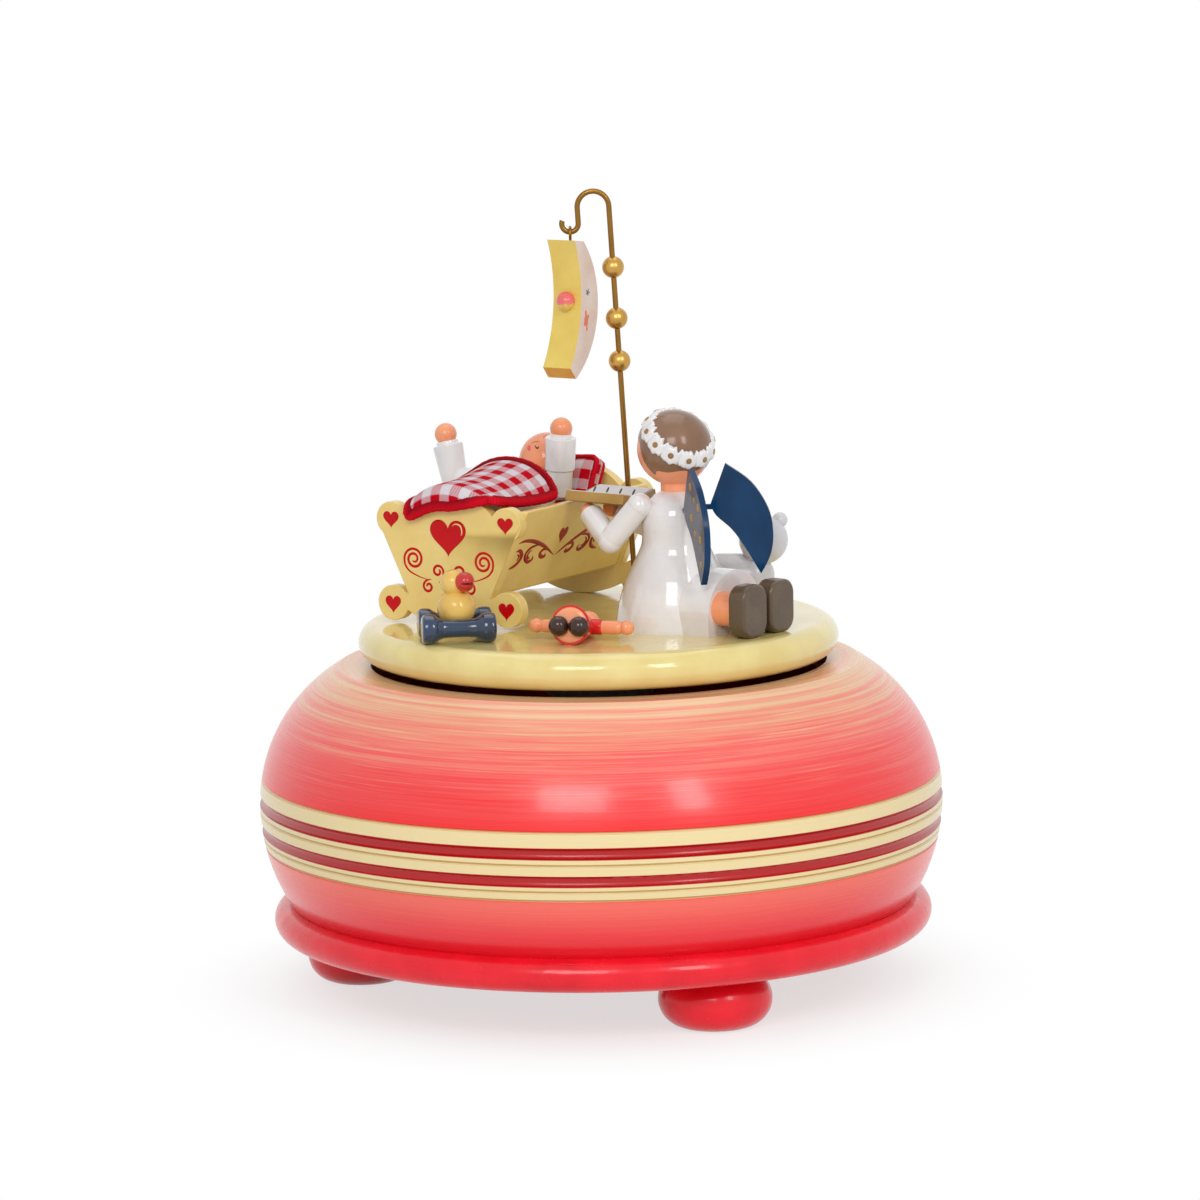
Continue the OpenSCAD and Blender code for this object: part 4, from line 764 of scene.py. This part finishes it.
face = dict(centre=(cradle @ Vector((0, 14.6, 31.6)))[:], ball=6.3, right=(0.773, 0.547, 0.322),
            up=(-0.605, 0.483, 0.634), front=(0.175, -0.696, 0.697))
dark_paint = paint("dark_brush_paint", (58, 30, 24), (40, 20, 16), rough=0.3, coat=0.3)
brow_paint = paint("brow_paint", (150, 88, 62), (132, 72, 50), rough=0.35, coat=0.3)
blush_paint = paint("blush_paint", (238, 96, 92), (232, 84, 84), rough=0.3, coat=0.4)
lashes = [stroke([(-3.65, 2.67), (-3.81, 1.57), (-3.59, 1.15), (-2.91, 1.29)], 0.5, ends=0.5, rise=0.08),
          stroke([(-0.02, 1.24), (-0.18, 0.57), (0.12, 0.45), (0.7, 0.78)], 0.42, ends=0.5, rise=0.08)]
surface("baby_lashes", [wrap(g, **face) for g in lashes], dark_paint)
brows = [stroke([(-4.13, 4.61), (-2.8, 3.52), (-2.0, 2.31)], 0.24, rise=0.05),
         stroke([(-0.6, 2.6), (0.08, 2.84), (1.23, 2.88)], 0.22, rise=0.05)]
surface("baby_brows", [wrap(g, **face) for g in brows], brow_paint)
blush = [blot(dab(-6.2, 4.5, 2.4, 2.9), 0.06), blot(dab(2.6, -1.6, 1.7, 1.5), 0.06),
         blot(dab(-2.06, -1.05, 1.2), 0.4), stroke([(-4.3, -2.0), (-3.7, -2.7), (-2.9, -2.9)], 0.4, rise=0.08)]
surface("baby_blush", [wrap(g, **face) for g in blush], blush_paint)


# Angel
# A turned dress with a half-round skirt back, a ball head on its neck, bent arms with ball hands, two legs
# and two shoes, all glued; white, skin and brown lacquer. The hair is thick brown paint.
angel = shift(17, -13, top_z) @ spin(-38, "Z")
brown_paint = paint("brown_lacquer", (98, 80, 60), (84, 67, 50), rough=0.26)
hair_paint = paint("hair_lacquer", (144, 108, 84), (128, 95, 73), rough=0.22)
dress(paint("pearl_white_lacquer", (238, 235, 234), (226, 222, 222), rough=0.13, coat=0.9, wave=0.07),
      "angel_dress", "angel_skirt", "angel_arms")
dress(skin_paint, "angel_head", "angel_hands", "angel_legs")
eased("shoe_pair", "angel_shoes", 0.7, brown_paint)


head, head_r = (0, 0, 38.8), 8.0


def hair_cap():
    """Thick paint over the crown of the head: the angle from the crown runs to the hair's edge, well down at the back
    and the sides, high over the face, with a square lock before each ear. The paint thins to nothing over the last
    part and closes inside the ball."""
    thick, rows, cols = 0.35, 26, 96
    s = np.linspace(0, 1, rows)[:, None]
    a = np.linspace(-np.pi, np.pi, cols + 1)[None, :-1]
    front = np.exp(-(a / 1.35) ** 8)
    lock = 0.3 * np.exp(-((np.abs(a) - 1.35) / 0.22) ** 4)
    polar = s * (2.18 - 0.85 * front + lock + 0.025 * np.sin(7 * a) * (1 - front))
    r = head_r + thick * np.clip(1 - s ** 7, 0, 1) - 0.06 * (s > 0.999)
    grid = np.stack([-r * np.sin(polar) * np.cos(a), -r * np.sin(polar) * np.sin(a), r * np.cos(polar)], -1)
    inner = grid[-1:] * (1 - 0.6 / head_r)
    grid = np.vstack([grid, inner, np.zeros_like(inner) + inner.mean(1, keepdims=True)])
    return put(grid + np.array(head), angel)


surface("angel_hair", [hair_cap()], hair_paint)


# Wreath of blossoms
# Twelve white blossoms of thick paint round the angel's hair, each with a gold-brown dot.
# The wreath leans back on the head; notches part the blossoms along its lower edge.
axis = Vector((0.357, -0.526, 0.771)).normalized()
centre = np.array((angel @ Vector(head))[:])
first = Vector((0, 0, 1)).cross(axis).normalized()
turned_axis = np.array([first, axis.cross(first), axis])


def wreath_grid():
    """A band on a ball about the leaning axis: its angle from the axis runs between two edges, with twelve narrow
    notches below, uneven bites above, and a thickness domed across and dented between blossoms."""
    at, up, down = (math.radians(v) for v in (63, 13.5, 15))
    under_r, inner_r, rows, cols = 8.1, 7.4, 17, 576
    a = around(cols)
    lobe = np.abs(np.sin(6 * a)) ** 0.22
    ragged = 0.03 * np.sin(24 * a + 1) + 0.025 * np.sin(35 * a)
    upper = at - up * (0.74 + 0.26 * np.abs(np.sin(6 * a + 0.5)) ** 0.7) - ragged
    lower = at + down * (0.3 + 0.7 * lobe) + 0.6 * ragged
    s = np.array([0, 0, *np.linspace(0, 1, rows - 4), 1, 1])[:, None]
    polar = upper + (lower - upper) * s
    edge = np.clip(np.minimum(s, 1 - s) * 7, 0, 1) ** 0.5
    r = under_r + (0.5 + 0.4 * np.abs(np.sin(6 * a)) ** 0.6) * edge
    r[[0, -1]] = inner_r
    r[[1, -2]] = under_r
    ball = np.stack([r * np.sin(polar) * np.cos(a), r * np.sin(polar) * np.sin(a), r * np.cos(polar)], -1)
    return centre + np.vstack([ball, ball[:1]]) @ turned_axis


surface("blossom_wreath", [wreath_grid()], white_paint)
gold_paint = paint("gold_dot_paint", (168, 130, 70), (142, 106, 54), rough=0.35, coat=0.3)
dots, dot_at = [], math.radians(64)
for turn in np.radians(15 + 30 * np.arange(12)):
    front = turned_axis.T @ np.array([math.sin(dot_at) * math.cos(turn), math.sin(dot_at) * math.sin(turn),
                                      math.cos(dot_at)])
    side = np.cross(axis, front)
    dots.append(wrap(blot(dab(0, 0, 1.3), 0.18), centre, 8.95, side, np.cross(front, side), front))
surface("blossom_dots", dots, gold_paint)


# Wings
# Two sawn plywood wings on pegs in the angel's back: navy on the back and the edges, slate grey on the side that
# faces forward, where small gold stars are printed.
def face_normals(piece):
    """The normal of each of a piece's faces, as (n, 3)."""
    normals = np.empty(len(piece.data.polygons) * 3, np.float32)
    piece.data.polygons.foreach_get("normal", normals)
    return normals.reshape(-1, 3)


navy_paint = paint("navy_lacquer", (2, 60, 104), (0, 46, 84), coat=0.12, spec=0.2)
slate_paint = paint("slate_lacquer", (92, 96, 110), (74, 80, 96))
wing_t, wing_turn = 1.4, 34
wings = eased("wing_pair", "angel_wings", 0.32, navy_paint, sheet=wing_t)
wings.data.materials.append(slate_paint)
ahead = angel.to_3x3() @ Vector((-1, 0, 0))
wings.data.polygons.foreach_set("material_index", (face_normals(wings) @ np.array(ahead) > 0.5).astype(int))


def star(x, y, size, points=8):
    """A star's outline: the radius swings between the size and a third of it once for each point."""
    a = around(points * 6)
    r = size / 2 * (0.34 + 0.66 * np.abs(np.cos(points * a / 2)) ** 2.2)
    return np.stack([x + r * np.cos(a), y + r * np.sin(a)], 1)


star_gold = metal("star_gold", (214, 176, 104), (184, 146, 80), rough=0.4, drawn=(500, 500, 500))
stars = []
for k in (1, -1):
    wing = angel @ spin(wing_turn * k, "Z") @ shift(7.7, 0, 26.6)
    flat = wing @ Matrix(((1, 0, 0, 0), (0, 0, k, wing_t / 2 * k), (0, 1, 0, 0), (0, 0, 0, 1)))
    for x, y, size in ((4.6, 5.2, 2.0), (9.4, 1.2, 2.0), (5.2, -1.4, 1.9), (10.6, -5.6, 2.0), (7.4, -4.6, 1.6),
                       (10.9, -10.8, 1.8), (7.0, 2.6, 1.3)):
        stars.append(put(blot(star(x, y, size), 0.07), flat))
surface("wing_stars", stars, star_gold)


# Songbook
# Two boards glued to a shallow trough, gold-brown paint outside, on the angel's hands.
# A white sheet is glued on top, with a row of plain slanting brush strokes.
book_paint = paint("book_lacquer", (190, 152, 84), (164, 126, 60), rough=0.32, coat=0.1)
page_white = paint("page_paper", (230, 227, 228), (218, 215, 216), rough=0.55, coat=0.0)
ink = paint("ink", (30, 28, 30), (18, 16, 18), rough=0.5, coat=0.0)
eased("songbook_boards", "songbook", 0.22, book_paint)
page_half, page_y, page_slope = (7.5, 2.8), 3.05, 12
a = around(80)
way = np.stack([np.cos(a), np.sin(a)], 1)
edge = page_half * np.sign(way) * np.abs(way) ** 0.08
pages, ticks = [], []
for k in (1, -1):
    half = angel @ shift(-17.5, 0, 27.5) @ spin(page_slope * k, "X") @ shift(0, page_y * k, 0)
    pages.append(put(blot(edge, 0.16), half))
    for x in np.arange(-5.2, 7.0, 3.6):
        tick = stroke([(x, -2.5 * k), (x - 1.0, -0.7 * k), (x - 2.0, 1.1 * k)], 0.5, ends=0.6, rise=0.09)
        ticks.append(put(tick, half @ shift(0, 0, 0.15)))
surface("songbook_pages", pages, page_white)
surface("songbook_ticks", ticks, ink)


# Post, beads and moon
# A bent brass wire with three gilt beads carries a sawn crescent on a screw eye, free to swing.
# The crescent is straw yellow round its edge, orange as painted shade where it faces down, paler on its faces, with a
# ball nose.
dress(metal("post_brass", (160, 118, 56), (120, 84, 36), rough=0.32, drawn=(900, 900, 200)), "post_wire", "moon_eye")
dress(metal("bead_gold", (214, 172, 96), (176, 132, 62), rough=0.3, drawn=(400, 400, 400)), "post_beads")
moon_paint = paint("moon_lacquer", (236, 208, 106), (226, 192, 84))
moon_face = paint("moon_face_lacquer", (232, 214, 202), (224, 202, 190), rough=0.24)
# Painted shade: the faces of the crescent that look down get a darker orange yellow for the shade on them.
moon_underside_shade = paint("moon_underside_painted_shade", (228, 172, 78), (220, 158, 72), rough=0.22)
crescent = eased("moon_crescent", "moon", 0.4, moon_paint, body="moon_body")
moon_at = shift(-4.326, 6.3, 162.846) @ spin(55, "Z") @ spin(7, "Y") @ shift(-0.4, 0, -14.9)
crescent.data.materials.append(moon_face)
crescent.data.materials.append(moon_underside_shade)
normals = face_normals(crescent)
sideways = np.abs(normals @ np.array(moon_at.to_3x3() @ Vector((0, 1, 0)))) > 0.8
# The faces that look down, which take the painted shade.
below = normals[:, 2] < -0.6
crescent.data.polygons.foreach_set("material_index", np.where(sideways, 1, np.where(below, 2, 0)))
nose_paint, nose_shader, place = shader("nose_lacquer")
nose_z = (moon_at @ Vector((-0.6, 0, 1.7))).z
height = calc(noise(place, 900, 2), "MULTIPLY_ADD", 1.6, calc(parts(place)["Z"], "MULTIPLY", 1000.0))
tone = ramp(height, [(nose_z + 0.1, (228, 192, 98)), (nose_z + 0.5, (236, 112, 108)),
                     (nose_z + 2.8, (238, 108, 108))])
feed(nose_shader, {"Base Color": tone, "Roughness": 0.2})
dress(nose_paint, "moon_nose")
eye_paint = paint("moon_eye_paint", (110, 128, 134), (92, 110, 118), rough=0.35, coat=0.2)
cheek_paint = paint("moon_cheek_paint", (232, 138, 120), (228, 120, 108), rough=0.35, coat=0.2)
eyes, cheeks, moon_half = [], [], 3.7
for k in (1, -1):
    flat = moon_at @ Matrix(((1, 0, 0, 0), (0, 0, -k, -moon_half * k), (0, 1, 0, 0), (0, 0, 0, 1)))
    eyes.append(put(blot(star(2.2, 3.9, 1.7, 5), 0.07), flat))
    for x, y, wide, high in ((2.2, -2.2, 1.5, 2.6), (1.9, -0.6, 0.7, 1.3), (2.6, -3.9, 0.6, 1.2),
                             (2.9, -1.3, 0.5, 1.0), (1.6, -3.0, 0.5, 0.9)):
        cheeks.append(put(blot(dab(x, y, wide, high, 8 * k), 0.06), flat))
surface("moon_eyes", eyes, eye_paint, body="moon_body")
surface("moon_cheeks", cheeks, cheek_paint, body="moon_body")


# Duck on its axles
# A ball body, a ball head and a split bill, glued on two turned axles with their wheels.
# Yellow, red and navy lacquer, laid on thickly.
dress(paint("duck_lacquer", (238, 200, 110), (226, 180, 84), rough=0.15), "duck_body", "duck_head")
dress(paint("bill_lacquer", (214, 60, 52), (196, 40, 38), rough=0.15), "duck_bill")
cart, axle_y, axle_z = shift(-30.3, -27.3, top_z) @ spin(7, "Z"), 4.6, 3.2
axle_navy = paint("axle_lacquer", (22, 52, 88), (12, 34, 62), rough=0.12, coat=0.9, wave=0.08)
wheel_edge = [(-8.0, 0), (-8.0, 2.4), (-7.6, 3.1), (-6.4, 3.2), (-5.2, 3.1), (-4.6, 2.6), (-3.6, 2.05), (-2.0, 1.9)]
axle = rounded(wheel_edge + [(-d, r) for d, r in wheel_edge[::-1]], ease=0.6)
axles = [put(turned(axle, (0, k * axle_y, axle_z), (1, k * axle_y, axle_z)), cart) for k in (1, -1)]
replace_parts(surface("axle_pair", axles, axle_navy), "cart_axles")


# Doll
# A turned cone dress on its back with a ball head, turned arms and two ball shoes.
# The hem end is skin colour with a red rim, sleeves red, shoes dark brown.
doll_red = paint("doll_red", (226, 36, 34), (206, 22, 24))
dress(doll_red, "doll_body")
dress(skin_paint, "doll_head")
dress(paint("shoe_lacquer", (62, 36, 28), (46, 24, 18), rough=0.12), "doll_shoes")
hem_r, neck_r, doll_l, shoulder = 4.3, 2.2, 11, 8.3
lean = math.atan((hem_r - neck_r) / doll_l)
doll = (shift(-6.2, -37.6, top_z) @ spin(-17, "Z") @ shift(0, hem_r * math.sin(lean), hem_r * math.cos(lean))
        @ Matrix.Rotation(-math.pi / 2 - lean, 4, "X"))
surface("doll_hem", [put(blot(dab(0, 0, 7.7), 0.4), doll @ spin(180, "X"))], skin_paint)
arm = rounded([(1.6, 0), (1.6, 1.3), (6.2, 1.5), (8.5, 1.45), (9.0, 1.12), (9.5, 1.5), (10.2, 1.62), (11.2, 1.25),
               (11.7, 0.6), (11.75, 0)], ease=0.5)
sleeve = rounded([(1.6, 0), (1.6, 1.66), (4.7, 1.66), (4.7, 0)])
ends = [((0, 0, shoulder), (k, 0, shoulder)) for k in (1, -1)]
arms = surface("doll_arm_pair", [put(turned(arm, *way, 32), doll) for way in ends], skin_paint)
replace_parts(arms, "doll_arms")
surface("doll_sleeves", [put(turned(sleeve, *way, 32), doll) for way in ends], doll_red)


# Toy bear
# A turned body with legs, a ball head with ears and snout that looks to the back, glued.
# Off-white lacquer, a few dark dabs for its face.
dress(paint("bear_lacquer", (222, 220, 222), (206, 204, 208), rough=0.24), "bear_body", "bear_head")
bear = shift(34, 3, top_z) @ spin(-8, "Z")
bear_look = bear @ shift(2.6, -0.6, 16.5) @ spin(75, "Z")
ahead, aside = (bear_look.to_3x3() @ Vector(v) for v in ((1, 0, 0), (0, 1, 0)))
bear_head = dict(centre=bear_look.translation[:], ball=5.4, right=aside[:], up=(0, 0, 1), front=ahead[:])
snout = dict(bear_head, centre=(bear_look @ Vector((4.2, 0, -1.2)))[:], ball=2.2)
dabs = [wrap(blot(dab(k * 2.1, 2.0, 0.9), 0.1), **bear_head) for k in (1, -1)]
dabs.append(wrap(blot(dab(0, 0.7, 1.5, 1.0), 0.14), **snout))
surface("bear_dabs", dabs, dark_paint)


# Studio
# A white sweep: the floor keeps the shadow near the object and runs out into white, which cameras and reflections
# see. Two soft boxes stand in front, one over the top, and a long lens looks down a little.
def looked_at(tree):
    """One for the rays of camera, mirror and glass, and nought for those that only bring light."""
    seen = add(tree, "LightPath").outputs
    return calc(calc(seen["Is Camera Ray"], "MAXIMUM", seen["Is Glossy Ray"]), "MAXIMUM", seen["Is Transmission Ray"])


scene = bpy.context.scene
floor_mat, floor_shader, place = shader("studio_floor")
tree, reach, shadow_r, white_r, near_white = floor_mat.node_tree, 6.0, 0.05, 0.1, 0.66
feed(floor_shader, {"Base Color": (0.9, 0.9, 0.9, 1), "Roughness": 0.9})
fade = remap(length(place), shadow_r, white_r, near_white, interpolation_type="SMOOTHSTEP")
share = calc(fade, "MULTIPLY", looked_at(tree))
white_light = add(tree, "Emission", {"Color": (1, 1, 1, 1), "Strength": 1.0}).outputs[0]
sweep = add(tree, "MixShader", {0: share, 1: floor_shader.outputs[0], 2: white_light}).outputs[0]
feed(tree.nodes["Material Output"], {"Surface": sweep})
floor_mesh = bpy.data.meshes.new("studio_floor")
corners = [(-reach, -reach, 0), (reach, -reach, 0), (reach, reach, 0), (-reach, reach, 0)]
floor_mesh.from_pydata(corners, [], [(0, 1, 2, 3)])
floor_mesh.materials.append(floor_mat)
floor = stand("studio_floor", floor_mesh)

world = bpy.data.worlds.new("studio")
scene.world = world
world.use_nodes = True
level = remap(looked_at(world.node_tree), to_low=0.5)
feed(world.node_tree.nodes["Background"], {"Color": (1, 1, 1, 1), "Strength": level})


def lamp(name, azimuth, height, far, wide, tall, power):
    """A soft box that faces the object from an azimuth (from the camera, to the right) and a height in degrees; its
    distance and size are in metres and its power in watts."""
    light = bpy.data.lights.new(name, "AREA")
    light.shape, light.size, light.size_y, light.energy = "RECTANGLE", wide, tall, power
    box = stand(name, light)
    a, h = math.radians(azimuth), math.radians(height)
    away = Vector((math.sin(a) * math.cos(h), -math.cos(a) * math.cos(h), math.sin(h)))
    box.location = Vector((0, 0, 0.08)) + away * far
    box.rotation_euler = away.to_track_quat("Z", "Y").to_euler()


lamp("left_box", azimuth=-10, height=30, far=1.2, wide=0.44, tall=0.36, power=3.8)
lamp("right_box", azimuth=32, height=29, far=1.2, wide=0.22, tall=0.44, power=2.7)
lamp("top_box", azimuth=180, height=74, far=1.1, wide=0.8, tall=0.8, power=2.0)

tilt, roll, far = math.radians(8.44), -1.01, 1.2
target = Vector((0.00047, 0.0, 0.08454))
back = Vector((0, -math.cos(tilt), math.sin(tilt)))
lens = bpy.data.cameras.new("photo_lens")
lens.lens, lens.sensor_width, lens.sensor_fit = 164.4, 36.0, "HORIZONTAL"
lens.clip_start, lens.clip_end = 0.05, 50
eye = stand("photo_camera", lens)
eye.matrix_world = (Matrix.Translation(target + back * far) @ back.to_track_quat("Z", "Y").to_matrix().to_4x4()
                    @ spin(roll, "Z"))
scene.camera = eye
scene.view_settings.view_transform = "Standard"
